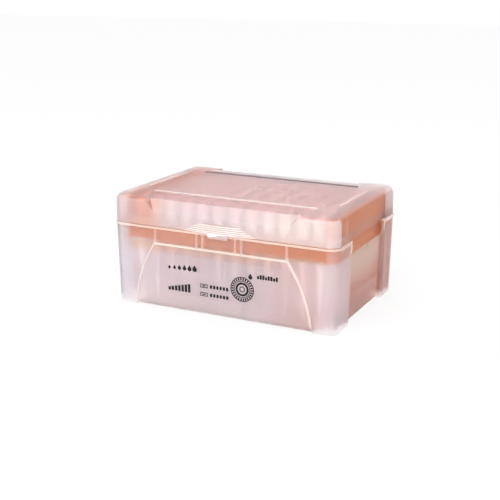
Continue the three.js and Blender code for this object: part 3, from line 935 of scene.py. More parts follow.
@dataclass
class BaseShell:
    """The base of the box: feet, panels, flange, lip, rack supports and hinge pins."""

    sizes: BoxSizes
    finishes: dict[Place, MilkyPolypropylene]
    flange_depth: float = 1.5
    flange_return: float = 6.0
    return_width: float = 1.0
    lip_height: float = 2.9
    lip_wall: float = 1.05
    lip_clearance: float = 0.35
    lip_lean: float = 0.3
    lip_step: float = 0.9
    panel_reach: float = 0.9
    panel_top_half: float = 36.8
    panel_bottom_half: float = 49.4
    panel_bulge: float = 4.2
    panel_foot: float = 2.0
    panel_below_rim: float = 8.1
    rib_places: tuple[float, ...] = (36.3, 12.4, 9.0)
    rib_half: float = 0.7
    end_recess: float = 2.0
    fin: float = 1.4
    fin_round: float = 0.25
    end_fin_y: float = 29.0
    ear_radius: float = 2.6
    ear: float = 2.0
    ear_gap: float = 1.0
    panel_edge: tuple[Pair, ...] = (
        (-0.05, 0.0), (0.0, 0.15), (0.12, 0.36), (0.35, 0.61), (0.6, 0.82), (0.9, 0.9))
    rib_side: tuple[Pair, ...] = ((0.4, 0.45), (0.62, 0.36), (0.72, 0.12), (0.85, -0.3))
    guide_steps: int = 40
    guides: list[Pair] = field(default_factory=list)

    @property
    def outline(self) -> Outline:
        """The plan of the base at its rim."""
        return Outline(self.sizes.half_length, self.sizes.half_width, self.sizes.corner)

    @property
    def panel_top(self) -> float:
        """Height of the ledge on the front and the back."""
        return self.sizes.rim - self.panel_below_rim

    def lean(self, height: float) -> float:
        """Return how far the wall has leaned in at a height."""
        return self.sizes.draft * (self.sizes.rim - height)

    def panel_side(self, height: float) -> float:
        """Follow the curved side of the panel.

        Args:
            height: At what height.

        Returns:
            How far from the middle it stands.
        """
        if not self.guides:
            top, bottom = self.panel_top, self.panel_foot
            run, drop = self.panel_bottom_half - self.panel_top_half, bottom - top
            length = math.hypot(run, drop)
            half = (self.panel_top_half + self.panel_bottom_half) / 2
            middle = (half - drop / length * self.panel_bulge,
                      (top + bottom) / 2 + run / length * self.panel_bulge)
            for step in range(self.guide_steps + 1):
                share = step / self.guide_steps
                x = mix(mix(self.panel_top_half, middle[0], share),
                        mix(middle[0], self.panel_bottom_half, share), share)
                z = mix(mix(top, middle[1], share), mix(middle[1], bottom, share), share)
                self.guides.insert(0, (z, x))
        return ramp(height, self.guides)

    def panel_depth(self, x: float, height: float) -> float:
        """Tell how deep inside the panel's outline a point of the wall lies.

        Args:
            x: How far from the middle the point is.
            height: At what height.

        Returns:
            The depth, negative outside.
        """
        side = self.panel_side(height)
        slope = self.panel_side(height - 0.5) - self.panel_side(height + 0.5)
        across = (side - x) / math.hypot(1, slope)
        return min(across, self.panel_top - height, height - self.panel_foot)

    def wall_inset(self, station: Station, height: float) -> float:
        """Return the inset of the outer wall below the rim.

        Args:
            station: Which upright line.
            height: At what height.

        Returns:
            The inset, with the panel, the ribs, the end recess and the flange in it.
        """
        sizes = self.sizes
        inset = self.lean(height)
        flange_foot = sizes.rim - self.flange_depth
        flange = ramp(height, [(flange_foot, 0.0), (flange_foot + 0.2, 1.0)])
        if station.run is Run.LONG:
            x, _ = self.outline.point(station, 0, self.panel_side(height))
            inset -= ramp(self.panel_depth(x, height), self.panel_edge)
            from_rib = min(abs(x - place) for place in self.rib_places)
            if height > self.panel_top - 0.8:
                rib = ramp(from_rib, self.rib_side)
                inset = min(inset, max(-rib, -1.0) if rib > 0 else inset)
        recessed = 0.0
        if station.run is Run.END:
            inside = sizes.recess_half - station.place
            recessed = ramp(inside, [(-0.12, 0.0), (-0.03, 0.12), (0.03, 0.85), (0.25, 1.0)])
            width, return_foot = self.return_width, sizes.rim - self.flange_return
            beside = ramp(-inside, [(0.0, 1.0), (width - 0.1, 1.0), (width + 0.1, 0.0)])
            started = ramp(height, [(return_foot - 0.1, 0.0), (return_foot + 0.15, 1.0)])
            flange = max(flange, beside * started)
        proud = mix(inset, -sizes.flange, flange) if inset > -sizes.flange else inset
        return mix(proud, self.lean(height) + self.end_recess, recessed)

    def inner_inset(self, station: Station, height: float) -> float:
        """Return the inset of the inner wall below the lip's seat.

        Args:
            station: Which upright line.
            height: At what height.

        Returns:
            The inset, with the panel's pocket and the end recess in it.
        """
        inset = self.lean(height) + self.sizes.base_wall
        if station.run is Run.LONG:
            x, _ = self.outline.point(station, 0, self.panel_side(height))
            pocket = self.panel_depth(x, height) - self.sizes.base_wall
            inset -= ramp(pocket, [(-0.2, 0.0), (0.3, self.panel_reach)])
        if station.run is Run.END:
            inside = self.sizes.recess_half + self.sizes.base_wall - station.place
            inset += self.end_recess * ramp(inside, [(-0.1, 0.0), (0.2, 1.0)])
        return inset

    def lip_inset(self, station: Station, inner: bool) -> float:
        """Return the inset of one face of the lip at its foot.

        Args:
            station: Which upright line.
            inner: Whether it is the inner face.

        Returns:
            The inset.
        """
        outer = self.sizes.lid_wall + self.lip_clearance
        half = self.sizes.lid_recess_half + outer + self.lip_step
        inset = outer + (self.lip_wall if inner else 0.0)
        if station.run is Run.END:
            inside = half + (self.lip_wall if inner else 0.0) - station.place
            inset += self.sizes.lid_recess_depth * ramp(inside, [(-0.1, 0.0), (0.3, 1.0)])
        return inset

    def rows(self, station: Station) -> list[Row]:
        """List the points of one upright line.

        Args:
            station: Which upright line.

        Returns:
            Its rows, from under the floor, up and over the lip, to the floor inside.
        """
        sizes, top, foot = self.sizes, self.panel_top, self.panel_foot
        rim = sizes.rim

        def row(inset: float, height: float) -> Row:
            """Add the guide to an inset and a height."""
            return inset, height, self.panel_side(height)

        low = self.wall_inset(station, sizes.foot)
        points = [row(low + step, sizes.foot + rise) for step, rise in (
            (2.6, 0), (0.5, 0), (0.2, 0.07), (0.05, 0.24), (0, 0.5))]
        steps = [1.7] + [foot + rise for rise in (-0.06, 0, 0.12, 0.35, 0.6, 0.9, 1.3)]
        steps += [5, 8, 11, 14, 17, 20, 23, 26, 29, 31, 32.6]
        steps += [top - drop for drop in (1.3, 0.9, 0.6, 0.35, 0.12, 0.0, -0.05, -0.3, -0.9)]
        steps += [rim - self.flange_return + rise for rise in (-0.15, -0.1, 0.0, 0.15, 0.4)]
        steps += [38, 39.5, 40.6, 41.0, 41.2, 41.26, 41.33, 41.4, 41.6, 42.2, 42.45]
        points += [row(self.wall_inset(station, height), height) for height in steps]
        edge = self.wall_inset(station, rim - 0.3)
        outer, inner = self.lip_inset(station, False), self.lip_inset(station, True)
        crest = rim + self.lip_height
        points += [row(edge + step, rim - drop)
                   for step, drop in ((0.04, 0.13), (0.13, 0.04), (0.27, 0))]
        points += [row(mix(edge, outer, 0.6), rim), row(outer - 0.1, rim + 0.01),
                   row(outer, rim + 0.12)]
        points += [row(outer + self.lip_lean * share, rim + self.lip_height * share)
                   for share in (0.3, 0.6, 0.9)]
        points += [row(outer + self.lip_lean + step, crest - drop)
                   for step, drop in ((0.03, 0.2), (0.16, 0.04), (0.35, 0))]
        points += [row(inner + self.lip_lean - step, crest - drop)
                   for step, drop in ((0.3, 0), (0.1, 0.06), (0, 0.25))]
        points += [row(inner + self.lip_lean * share, rim + self.lip_height * share)
                   for share in (0.5, 0.1)]
        points += [row(inner, rim - 0.5), row(inner, rim - 1.4)]
        seat = rim - 1.6 - (self.lip_inset(station, True) - self.inner_inset(station, rim - 2.5))
        inside = [seat, 39.0, 37.0] + [top - drop for drop in (0.6, 1.15, 1.4, 1.6, 1.8)]
        inside += [31.5, *range(28, 4, -4), 5] + [foot + rise for rise in (1.9, 1.65, 1.45, 1.15, 0.8)]
        points += [row(self.inner_inset(station, height), height) for height in inside]
        last = self.inner_inset(station, sizes.floor + 0.5)
        return points + [row(last + step, sizes.floor + rise) for step, rise in (
            (0.06, 0.28), (0.25, 0.07), (0.55, 0), (1.9, 0))]

    def stations(self) -> list[Station]:
        """List the upright lines of a quarter of the base.

        Returns:
            The lines, closer where the panel, the ribs and the recesses need them.
        """
        half = self.panel_top_half
        xs = [0.0, 2, 4, 6, 7.6]
        for place in self.rib_places[1:]:
            xs += [place + step for step in (-0.85, -0.72, -0.62, -0.4, 0, 0.4, 0.62, 0.72, 0.85)]
        xs += [14.5, 17, 20, 23, 26, 29, 32, 34, 34.8, 35.15, 35.4, 35.58, 35.68, 35.9, 36.2, 36.45,
               36.68, 36.8]
        pivot = self.outline.half_x - self.outline.corner
        beyond = [36.85, 36.93, 37.02, 37.15, 37.6, 38.5, 40, 43, 46, 49, 52, 54.5]
        stations = [Station(Run.LONG, x / half) for x in sorted(set(xs))]
        stations += [Station(Run.LONG, 1 + (x - half) / (pivot - half)) for x in beyond]
        stations += [Station(Run.CORNER, 90 * step / QUARTER_STEPS)
                     for step in range(QUARTER_STEPS + 1)]
        inner_recess = self.sizes.recess_half + self.sizes.base_wall
        clear = self.sizes.lid_wall + self.lip_clearance
        lip_outer = self.sizes.lid_recess_half + clear + self.lip_step
        ys = [0.0, 6, 12, 17, 20, 22, 22.5]
        ys += [self.sizes.recess_half + step
               for step in (-0.25, -0.12, -0.03, 0.0, 0.03, 0.12, 0.4, 0.9, 1.1)]
        ys += [inner_recess + step for step in (-0.2, 0.1)]
        for half_y in (lip_outer, lip_outer + self.lip_wall):
            ys += [half_y + step for step in (-0.3, -0.1, 0.1)]
        ys += [25.5, 27, 31, 33.5, 35.5]
        return stations + [Station(Run.END, y) for y in sorted(set(ys), reverse=True)]

    def foot(self) -> Solid:
        """Make the foot under one corner.

        Returns:
            The foot.
        """
        plan, inset = self.outline, self.lean(0)
        side, recess = self.panel_bottom_half, self.sizes.recess_half
        pivot = (plan.half_x - plan.corner, plan.half_y - plan.corner)
        points = [(side, recess), (plan.half_x - inset, recess),
                  *arc(pivot, plan.corner - inset, 0, 90, QUARTER_STEPS), (side, plan.half_y - inset)]
        return Solid.extruded(points, upright, [
            (0.0, -0.2), (0.06, -0.06), (0.2, -0.01), (1.35, -0.01)])

    def fins(self) -> list[Solid]:
        """Make the fins inside the walls, which carry the skirt of the rack.

        Returns:
            The fins of a quarter of the box.
        """
        sizes, rack, half = self.sizes, RackSizes(), self.fin / 2
        low, sunk = sizes.floor - 0.4, self.lean(10) + 0.3
        reach_x, reach_y = (reach - rack.wall - 0.2
                            for reach in (rack.half_x(sizes), rack.half_y(sizes)))
        fins = [Solid.block((x - half, reach_y, low), (x + half, sizes.half_width - sunk, rack.skirt),
                            self.fin_round) for x in self.rib_places[:2]]
        fins.append(Solid.block((reach_x, self.end_fin_y - half, low), (
            sizes.half_length - sunk, self.end_fin_y + half, rack.end_skirt), self.fin_round))
        return fins

    def hinge_side(self) -> list[Solid]:
        """Make the base's side of one hinge.

        Returns:
            The two ears and the pin.
        """
        sizes, radius = self.sizes, self.ear_radius
        centre = (sizes.hinge_y, sizes.hinge_z)
        root, top = sizes.half_width - sizes.base_wall / 2, sizes.rim - 0.1
        points = arc(centre, radius, -60, 90, 18) + [
            (sizes.half_width + sizes.flange, top), (root, top), (root, sizes.hinge_z - 2 * radius)]
        inner = sizes.hook_half + self.ear_gap
        solids = []
        for side in (-1, 1):
            near = sizes.hinge_place + side * inner
            low, high = sorted((near, near + side * self.ear))
            solids.append(Solid.plate(points, low, high, 0.2))
        pin_half = inner + self.ear - 0.5
        solids.append(Solid.extruded(ring(centre, sizes.pin, 30), crosswise, [
            (sizes.hinge_place - pin_half, 0), (sizes.hinge_place + pin_half, 0)]))
        return solids

    def is_thick(self, middle: Vector) -> bool:
        """Tell whether a face lies where the plastic is thick.

        Args:
            middle: The middle of the face.

        Returns:
            Whether it is on the rim's flange, on the lip's crest, or on the edge of a panel or recess.
        """
        x, y, z = abs(middle.x), abs(middle.y), middle.z
        rim = self.sizes.rim
        if z > rim + self.lip_height - 0.3:
            return True
        # Only the front recess edge: its pale line is partly a painted highlight, on the side that
        # faces the lamp.
        on_recess_edge = abs(middle.y + self.sizes.recess_half) < 0.3
        if on_recess_edge and x > self.outline.half_x - 2.3 and z > self.sizes.foot:
            return True
        if self.outline.depth(x, y) < 0.05 and rim - self.flange_return < z < rim + 0.05:
            return z > rim - self.flange_depth + 0.4 or x > self.outline.half_x - 0.05
        if y < self.outline.half_y - self.lean(z) - 0.2 or z > self.panel_top:
            return False
        return z > self.panel_foot + 0.9 and -0.1 < self.panel_depth(x, z) < 0.8

    def pick(self, middle: Vector, normal: Vector) -> Place:
        """Tell the place of a face.

        Args:
            middle: The middle of the face.
            normal: Which way it faces.

        Returns:
            Its place.
        """
        if self.is_thick(middle):
            return Place.THICK
        plan, wall = self.outline, self.outline.half_y - self.lean(middle.z)
        x, y = abs(middle.x), abs(middle.y)
        flat_x, flat_y = plan.half_x - plan.corner, plan.half_y - plan.corner
        from_rib = min(abs(x - place) for place in self.rib_places)
        if y > wall - 0.2 and self.panel_top < middle.z < self.sizes.rim and from_rib < self.rib_half:
            return Place.RIB
        inside = normal.dot(middle - Vector((0, 0, self.sizes.rim - 5))) < 0
        # Painted shade: the end walls from the front recess edge back, and the rear corners, take the
        # clearer end finish; the front corners take the panel's.
        on_end = x > plan.half_x - 4 and -self.sizes.recess_half < middle.y < flat_y
        if on_end and abs(normal.z) < 0.5:
            return Place.END_INSIDE if inside else Place.END_OUTSIDE
        if y < wall - self.sizes.base_wall - 0.3 and abs(normal.x) > 0.5 and x < flat_x:
            return Place.FIN
        if x > flat_x and middle.y > flat_y:
            return Place.END_INSIDE if inside else Place.END_OUTSIDE
        if middle.z < self.panel_top or x > flat_x:
            return Place.PANEL_INSIDE if inside else Place.PANEL_OUTSIDE
        return Place.INSIDE if inside else Place.OUTSIDE

    def build(self, shift: float) -> list[bpy.types.Object]:
        """Build the base and let it stand for its CAD node.

        Args:
            shift: How far the box's centre stands from the frame's, along Y.

        Returns:
            The base.
        """
        shell = Solid.shell(self.outline, self.stations(), self.rows)
        extras = []
        for solid in [self.foot(), *self.fins()]:
            twin = solid.mirrored("x")
            extras += [solid, twin, solid.mirrored("y"), twin.mirrored("y")]
        for solid in self.hinge_side():
            extras += [solid, solid.mirrored("x")]
        piece = shell.combined(extras, "UNION").finished(
            "base_shell", self.finishes, shift, self.pick)
        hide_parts("base_box")
        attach(piece, "base")
        return [piece]


@dataclass
class PanelMarks:
    """Plain printed shapes on the front panel: drops, bars, dashes and a round seal of ticks."""

    sizes: BoxSizes
    finish: PrintedInk
    glaze: MilkyPolypropylene
    proud: float = 0.9
    sink: float = 0.05
    film: float = 0.06
    seal_centre: Pair = (12.9, 17.0)
    seal_radius: float = 6.3
    seal_ticks: int = 26
    tick_half: Pair = (0.66, 0.38)
    seal_rings: tuple[Pair, ...] = ((0.98, 0.07), (0.66, 0.06), (0.48, 0.17), (0.2, 0.07))
    window_low: Pair = (-34.0, 7.5)
    window_high: Pair = (37.0, 30.0)
    window_film: Pair = (0.005, 0.02)

    def face(self, height: float) -> float:
        """Return how far the panel's face stands in front of the box's centre at a height."""
        return self.sizes.half_width + self.proud - self.sizes.draft * (self.sizes.rim - height)

    def laid(self, points: Sequence[Pair], back: float, front: float) -> Solid:
        """Lay one flat shape on the panel.

        Args:
            points: Its outline, in x and z.
            back: How far its back stands out from the panel's face.
            front: How far its front does.

        Returns:
            The shape.
        """
        return Solid.extruded(points, lambda x, z, out: (x, -self.face(z) - out, z),
                              [(back, 0.0), (front, 0.0)])

    def bar(self, left: float, low: float, width: float, height: float) -> Solid:
        """Print an upright bar or a dash.

        Args:
            left: Its left edge.
            low: Its lower edge.
            width: Its width.
            height: Its height.

        Returns:
            The bar, with slightly cut corners.
        """
        cut = 0.2 * min(width, height)
        right, high = left + width, low + height
        corners = [(left + cut, low), (right - cut, low), (right, low + cut), (right, high - cut),
                   (right - cut, high), (left + cut, high), (left, high - cut), (left, low + cut)]
        return self.laid(corners, -self.sink, self.film)

    def drop(self, x: float, low: float, size: float) -> Solid:
        """Print a drop.

        Args:
            x: Where its middle is.
            low: Its lower end.
            size: Its height.

        Returns:
            The drop, round below and pointed above.
        """
        radius = size * 0.36
        points = arc((x, low + radius), radius, 150, 390, 12)
        return self.laid([*points, (x, low + size)], -self.sink, self.film)

    def shapes(self) -> list[Solid]:
        """List all the flat shapes but the seal.

        Returns:
            Growing drops, growing bars, two frames with dashes, one more drop and a row of short bars.
        """
        made = [self.drop(-28.0 + 2.9 * step, 22.2, 1.9 + 0.32 * step) for step in range(6)]
        made += [self.bar(-29.0 + 1.9 * step, 10.9, 1.4, 1.8 + 0.45 * step) for step in range(7)]
        for low in (10.3, 14.7):
            made += [self.bar(-10.5, low + rise, 4.2, 0.4) for rise in (0, 1.6)]
            made += [self.bar(left, low + 0.4, 0.4, 1.2) for left in (-10.5, -6.7)]
            made += [self.bar(-9.4, low + 0.7, 2.0, 0.6)]
            made += [self.bar(-5.0 + 1.8 * step, low + 0.1, 1.25, 1.8) for step in range(6)]
        made += [self.drop(17.4, 22.7, 3.0)]
        made += [self.bar(21.0 + 1.42 * step, 23.5, 1.12, 2.2 if step % 3 else 1.6)
                 for step in range(8)]
        return made

    def seal_tree(self) -> bpy.types.NodeTree:
        """Build the tree that lays ticks between plain rings.

        Returns:
            The tree, with the seal's sizes and the ink as named inputs.
        """
        tree, given = start_repeat("seal", {"Ticks": "Int", "Radius": "Float", "Film": "Float",
                                            "Place": "Vector", "Turn": "Vector", "Ink": "Material"})

        def share(value: float) -> bpy.types.NodeSocket:
            """Return a share of the seal's radius."""
            return calculate(tree, "MULTIPLY", given["Radius"], value)

        circle = add_node(tree, "GeometryNodeMeshCircle", inputs={
            "Vertices": given["Ticks"], "Radius": share(0.83)})
        index = add_node(tree, "GeometryNodeInputIndex")
        step = calculate(tree, "DIVIDE", 2 * math.pi, given["Ticks"])
        turn = add_node(tree, "ShaderNodeCombineXYZ", inputs={
            "Z": calculate(tree, "MULTIPLY", index.outputs[0], step)})
        ticks = add_node(tree, "GeometryNodeInstanceOnPoints", inputs={
            "Points": circle.outputs["Mesh"], "Instance": given["Geometry"],
            "Rotation": turn.outputs[0]})
        parts = [ticks.outputs["Instances"]]
        for place, width in self.seal_rings:
            line = add_node(tree, "GeometryNodeCurvePrimitiveCircle", inputs={
                "Resolution": 64, "Radius": share(place)})
            section = add_node(tree, "GeometryNodeCurvePrimitiveQuadrilateral", inputs={
                "Width": share(width), "Height": given["Film"]})
            band = add_node(tree, "GeometryNodeCurveToMesh", inputs={
                "Curve": line.outputs["Curve"], "Profile Curve": section.outputs["Curve"]})
            parts.append(band.outputs["Mesh"])
        whole = add_node(tree, "GeometryNodeJoinGeometry")
        for part in parts:
            tree.links.new(part, whole.inputs["Geometry"])
        stood = add_node(tree, "GeometryNodeTransform", inputs={
            "Geometry": whole.outputs["Geometry"], "Translation": given["Place"],
            "Rotation": given["Turn"]})
        end_repeat(stood.outputs["Geometry"], given["Ink"])
        return tree

    def seal(self, shift: float) -> bpy.types.Object:
        """Print the round seal.

        Args:
            shift: How far the box's centre stands from the frame's, along Y.

        Returns:
            The seal.
        """
        half = self.film / 2
        across, along = self.tick_half
        tick = Solid.block((-across, -along, -half), (across, along, half))
        bmesh.ops.scale(tick.mesh, vec=(MM, MM, MM), verts=tick.mesh.verts)
        source = tick.loose()
        x, z = self.seal_centre
        values = {"Ticks": self.seal_ticks, "Radius": self.seal_radius * MM, "Film": self.film * MM,
                  "Place": (x * MM, (shift - self.face(z) - half) * MM, z * MM),
                  "Turn": (math.pi / 2 + math.atan(self.sizes.draft), 0.0, 0.0),
                  "Ink": self.finish.material()}
        return stamped(source, self.seal_tree(), values, "panel_seal")

    def build(self, shift: float) -> list[bpy.types.Object]:
        """Print the marks and lay the window under them; all are extra and ride with the base.

        Args:
            shift: How far the box's centre stands from the frame's, along Y.

        Returns:
            The marks, the seal and the window.
        """
        first, *rest = self.shapes()
        inked = first.combined(rest, "UNION")
        marks = inked.finished("panel_marks", {Place.OUTSIDE: self.finish}, shift)
        seal = self.seal(shift)
        (left, low), (right, high) = self.window_low, self.window_high
        pane = self.laid([(left, low), (right, low), (right, high), (left, high)], *self.window_film)
        window = pane.finished("panel_window", {Place.OUTSIDE: self.glaze}, shift)
        for piece in (marks, seal, window):
            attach(piece, "base")
        return [marks, seal, window]


# ------------------------------------------------------------------ lid


@dataclass
class LidShell:
    """The lid: stacking recesses, thumb grip, latch tongue, hinge hooks and locating ribs."""

    sizes: BoxSizes
    finishes: dict[Place, MilkyPolypropylene]
    edge_radius: float = 4.0
    recess_floor_half: float = 36.8
    recess_face_half: float = 41.0
    recess_top_half: float = 45.0
    recess_start: float = 50.15
    recess_lean: float = 3.2
    recess_face: float = 6.4
    shelf_rise: float = 0.5
    platform_half: float = 27.6
    rib: float = 0.9
    rib_height: float = 0.3
    end_rib_x: float = 53.3
    end_rib_half: float = 18.8
    grip_ridges: int = 5
    grip_pitch: float = 0.92
    grip_half: float = 20.5
    grip_taper: float = 1.75
    grip_reach: float = 1.7
    grip_step: float = 0.22
    grip_groove: float = 0.35
    tongue_half: float = 5.6
    tongue_hang: float = 2.1
    tongue_thickness: float = 0.9
    tongue_gap: float = 0.25
    grip_steps: int = 72
    hook_clearance: float = 0.35
    hook_ring: float = 1.05
    hook_mouth_half: float = 1.1
    hook_mouth_turn: float = -45.0
    gate_radius: float = 1.4

    @property
    def outline(self) -> Outline:
        """The plan of the lid at its open edge."""
        return Outline(self.sizes.half_length, self.sizes.half_width, self.sizes.corner)

    def lean(self, height: float) -> float:
        """Return how far the wall has leaned in at a height."""
        return self.sizes.draft * (height - self.sizes.lid_bottom)

    def plain_edge(self, turn: float, inset: float) -> Pair:
        """Follow the quarter round of the top edge.

        Args:
            turn: How many degrees up it.
            inset: 0 for the outer face, and the wall's thickness for the inner one.

        Returns:
            The inset and the height there.
        """
        radius = self.edge_radius - inset
        shoulder = self.sizes.lid_top - self.edge_radius
        angle = math.radians(turn)
        lean = self.lean(shoulder) + inset
        return lean + radius * (1 - math.cos(angle)), shoulder + radius * math.sin(angle)

    def skin(self, inset: float) -> tuple[list[Row], list[Row]]:
        """List the points of an upright line on one face of the lid, above the start of the recess.

        Args:
            inset: 0 for the outer face, and the wall's thickness for the inner one.

        Returns:
            The rows of the stacking recess, and as many rows of the plain edge.
        """
        start, top = self.recess_start - inset, self.sizes.lid_top - inset
        step = self.sizes.half_width - self.platform_half + inset
        face_top = start + self.recess_face
        first = self.lean(start) + inset
        brink = self.recess_lean + inset
        bottom, face, upper = (half + inset for half in (
            self.recess_floor_half, self.recess_face_half, self.recess_top_half))
        shares = (0.02, 0.08, 0.25, 0.45, 0.65, 0.82, 0.91, 0.95)
        recess = [(mix(first, brink, s), mix(start, face_top, s), mix(bottom, face, s)) for s in shares]
        shelf_end = face_top + self.shelf_rise
        recess += [(brink + 0.02, face_top - 0.1, face), (brink + 0.2, face_top - 0.02, face),
                   (brink + 0.5, face_top + 0.02, face)]
        recess += [(mix(brink, step, share), face_top + self.shelf_rise * share,
                    mix(face, upper, share))
                   for share in (0.15, 0.35, 0.55, 0.75, 0.9, 0.96)]
        crest = top + (self.rib_height if inset == 0 else 0.0)
        recess += [(step - 0.12, shelf_end, upper), (step - 0.03, shelf_end + 0.04, upper),
                   (step, shelf_end + 0.14, upper), (step, mix(shelf_end, crest, 0.7), upper)]
        if inset == 0:
            end = step + self.rib
            recess += [(step + 0.02, crest - 0.12, upper), (step + 0.1, crest - 0.02, upper),
                       (step + 0.25, crest, upper), (end - 0.22, crest, upper),
                       (end - 0.06, crest - 0.04, upper), (end, crest - 0.16, upper),
                       (end + 0.02, top + 0.04, upper), (end + 0.15, top, upper)]
        else:
            recess += [(step + 0.03, top - 0.06, upper), (step + 0.2, top, upper)]
        recess.append((step + self.rib + 1.2, top, upper))
        plain = []
        shoulder = self.sizes.lid_top - self.edge_radius
        for height in (start + 0.2, start + 0.9, start + 1.8, mix(start, shoulder, 0.75), shoulder):
            plain.append((self.lean(height) + inset, height, 0.0))
        plain += [(*self.plain_edge(turn, inset), 0.0) for turn in (10, 22, 34, 46, 58, 70, 80)]
        level = self.plain_edge(90, inset)[0]
        last = recess[-1][0]
        flats = [row[0] for row in recess[len(plain):]]
        plain += [(max(level + 0.02 * k, min(flat, last)), top, 0.0) for k, flat in enumerate(flats)]
        return recess, [(a, b, recess[k][2]) for k, (a, b, _) in enumerate(plain)]

    def above(self, station: Station, inset: float) -> list[Row]:
        """Blend the recess into the plain edge for one upright line.

        Args:
            station: Which line.
            inset: 0 for the outer face, and the wall's thickness for the inner one.

        Returns:
            The rows, from the wall up and over.
        """
        recess, plain = self.skin(inset)
        level = self.plain_edge(90, inset)[0]
        if station.run is Run.LONG:
            away = smooth((station.place - 1) / 0.06)
            near = smooth((station.place - 1.06) / 0.9)
            ends = [(mix(c, min(c, level + 0.012 * index), near), d)
                    for index, (c, d, _) in enumerate(plain)]
            return [(mix(a, c, away), mix(b, d, away), guide)
                    for (a, b, guide), (c, d) in zip(recess, ends)]
        rows = []
        for index, (a, b, guide) in enumerate(plain):
            a = min(a, level + 0.012 * index)
            rows.append((max(a, self.end_inset(station, inset)), b, guide))
        return rows

    def end_inset(self, station: Station, inset: float) -> float:
        """Return how deep the shallow end recess is at a station.

        Args:
            station: Which upright line.
            inset: 0 for the outer face, and the wall's thickness for the inner one.

        Returns:
            The depth, 0 away from the recess.
        """
        if station.run is not Run.END:
            return 0.0
        inside = self.sizes.lid_recess_half + inset - station.place
        deep = ramp(inside, [(-0.25, 0.0), (-0.1, 0.12), (0.1, 0.88), (0.3, 1.0)])
        return deep * (self.sizes.lid_recess_depth + inset)

    def below(self, station: Station, inset: float) -> list[Row]:
        """List the rows of the plain wall below the stacking recess.

        Args:
            station: Which upright line.
            inset: 0 for the outer face, and the wall's thickness for the inner one.

        Returns:
            The rows, from the seam up.
        """
        bottom, start = self.sizes.lid_bottom, self.recess_start - inset
        heights = [bottom + 0.22, bottom + 0.8, 45.0, 47.0, 48.3, start - 0.35, start - 0.12]
        floor = self.end_inset(station, inset)
        guide = self.recess_floor_half + inset
        return [(max(self.lean(z) + inset, floor), z, guide) for z in heights]

    def rows(self, station: Station) -> list[Row]:
        """List the points of one upright line.

        Args:
            station: Which upright line.

        Returns:
            Its rows, from inside under the top, round the seam, to the top.
        """
        wall, bottom = self.sizes.lid_wall, self.sizes.lid_bottom
        inner = list(reversed(self.below(station, wall) + self.above(station, wall)))
        outer = self.below(station, 0.0) + self.above(station, 0.0)
        inmost, outmost = inner[-1][0], outer[0][0]
        guide = self.recess_floor_half
        seam = [(inmost - 0.05, bottom + 0.07, guide + wall), (inmost - 0.2, bottom, guide + wall),
                (outmost + 0.22, bottom, guide), (outmost + 0.06, bottom + 0.06, guide)]
        return inner + seam + outer

    def stations(self) -> list[Station]:
        """List the upright lines of a quarter of the lid.

        Returns:
            The lines, closer where the recesses need them.
        """
        half = self.recess_floor_half
        stations = [Station(Run.LONG, x / half) for x in (*range(0, 29, 4), 31, 33.5, 35.3, 36.3, half)]
        shares = (0.006, 0.012, 0.02, 0.03, 0.04, 0.048, 0.054, 0.06, 0.075, 0.11, 0.18, 0.3, 0.45,
                  0.62, 0.8, 0.93)
        stations += [Station(Run.LONG, 1 + share) for share in shares]
        stations += [Station(Run.CORNER, 90 * step / QUARTER_STEPS)
                     for step in range(QUARTER_STEPS + 1)]
        ys = [0.0, 6, 12, 17, 21, 24, 29.5, 32, 34.5, 36]
        for edge in (self.sizes.lid_recess_half, self.sizes.lid_recess_half + self.sizes.lid_wall):
            ys += [edge + step for step in (-0.3, -0.2, -0.1, 0.0, 0.1, 0.2, 0.3)]
        return stations + [Station(Run.END, y) for y in sorted(set(ys), reverse=True)]

    def end_rib(self) -> Solid:
        """Make the low rib on top near one end.

        Returns:
            The rib.
        """
        top, half = self.sizes.lid_top, self.rib / 2
        return Solid.block((self.end_rib_x - half, -self.end_rib_half, top - 0.4),
                           (self.end_rib_x + half, self.end_rib_half, top + self.rib_height), 0.14)

    def grip(self) -> Solid:
        """Make the thumb grip.

        Returns:
            Ridges that swell forward, each shorter than the one below.
        """
        bottom = self.sizes.lid_bottom + 0.02
        inside = -(self.sizes.half_width - 0.7)
        profile = [(0.0, 0.08, -0.5), (0.0, 0.14, -0.1)]
        for ridge in range(self.grip_ridges):
            foot = ridge * self.grip_pitch
            profile += [(ridge, foot + 0.16, 0.0), (ridge, foot + 0.4, 0.02),
                        (ridge, foot + 0.53, -0.08), (ridge + 0.5, foot + 0.62, -self.grip_groove),
                        (ridge + 0.7, foot + 0.82, -self.grip_groove)]
        mesh = bmesh.new()
        columns = []
        for step in range(self.grip_steps + 1):
            share = 2 * step / self.grip_steps - 1
            column = [mesh.verts.new((share * self.grip_half, inside, bottom))]
            for ridge, rise, out in profile:
                half = self.grip_half - ridge * self.grip_taper
                reach = self.grip_reach - ridge * self.grip_step
                swell = max(1 - share * share, 0.0)
                y = -(self.sizes.half_width - 0.12) - reach * swell - out * min(swell * 4, 1)
                column.append(mesh.verts.new((share * half, y, bottom + rise)))
            half = self.grip_half - self.grip_ridges * self.grip_taper
            column.append(mesh.verts.new((share * half, inside, bottom + profile[-1][1] + 0.25)))
            columns.append(column)
        for here, there in zip(columns, columns[1:]):
            for low in range(len(here)):
                high = (low + 1) % len(here)
                mesh.faces.new((here[low], there[low], there[high], here[high]))
        for end in (columns[0], columns[-1]):
            bmesh.ops.triangulate(mesh, faces=[mesh.faces.new(end)])
        bmesh.ops.recalc_face_normals(mesh, faces=mesh.faces)
        return Solid(mesh)

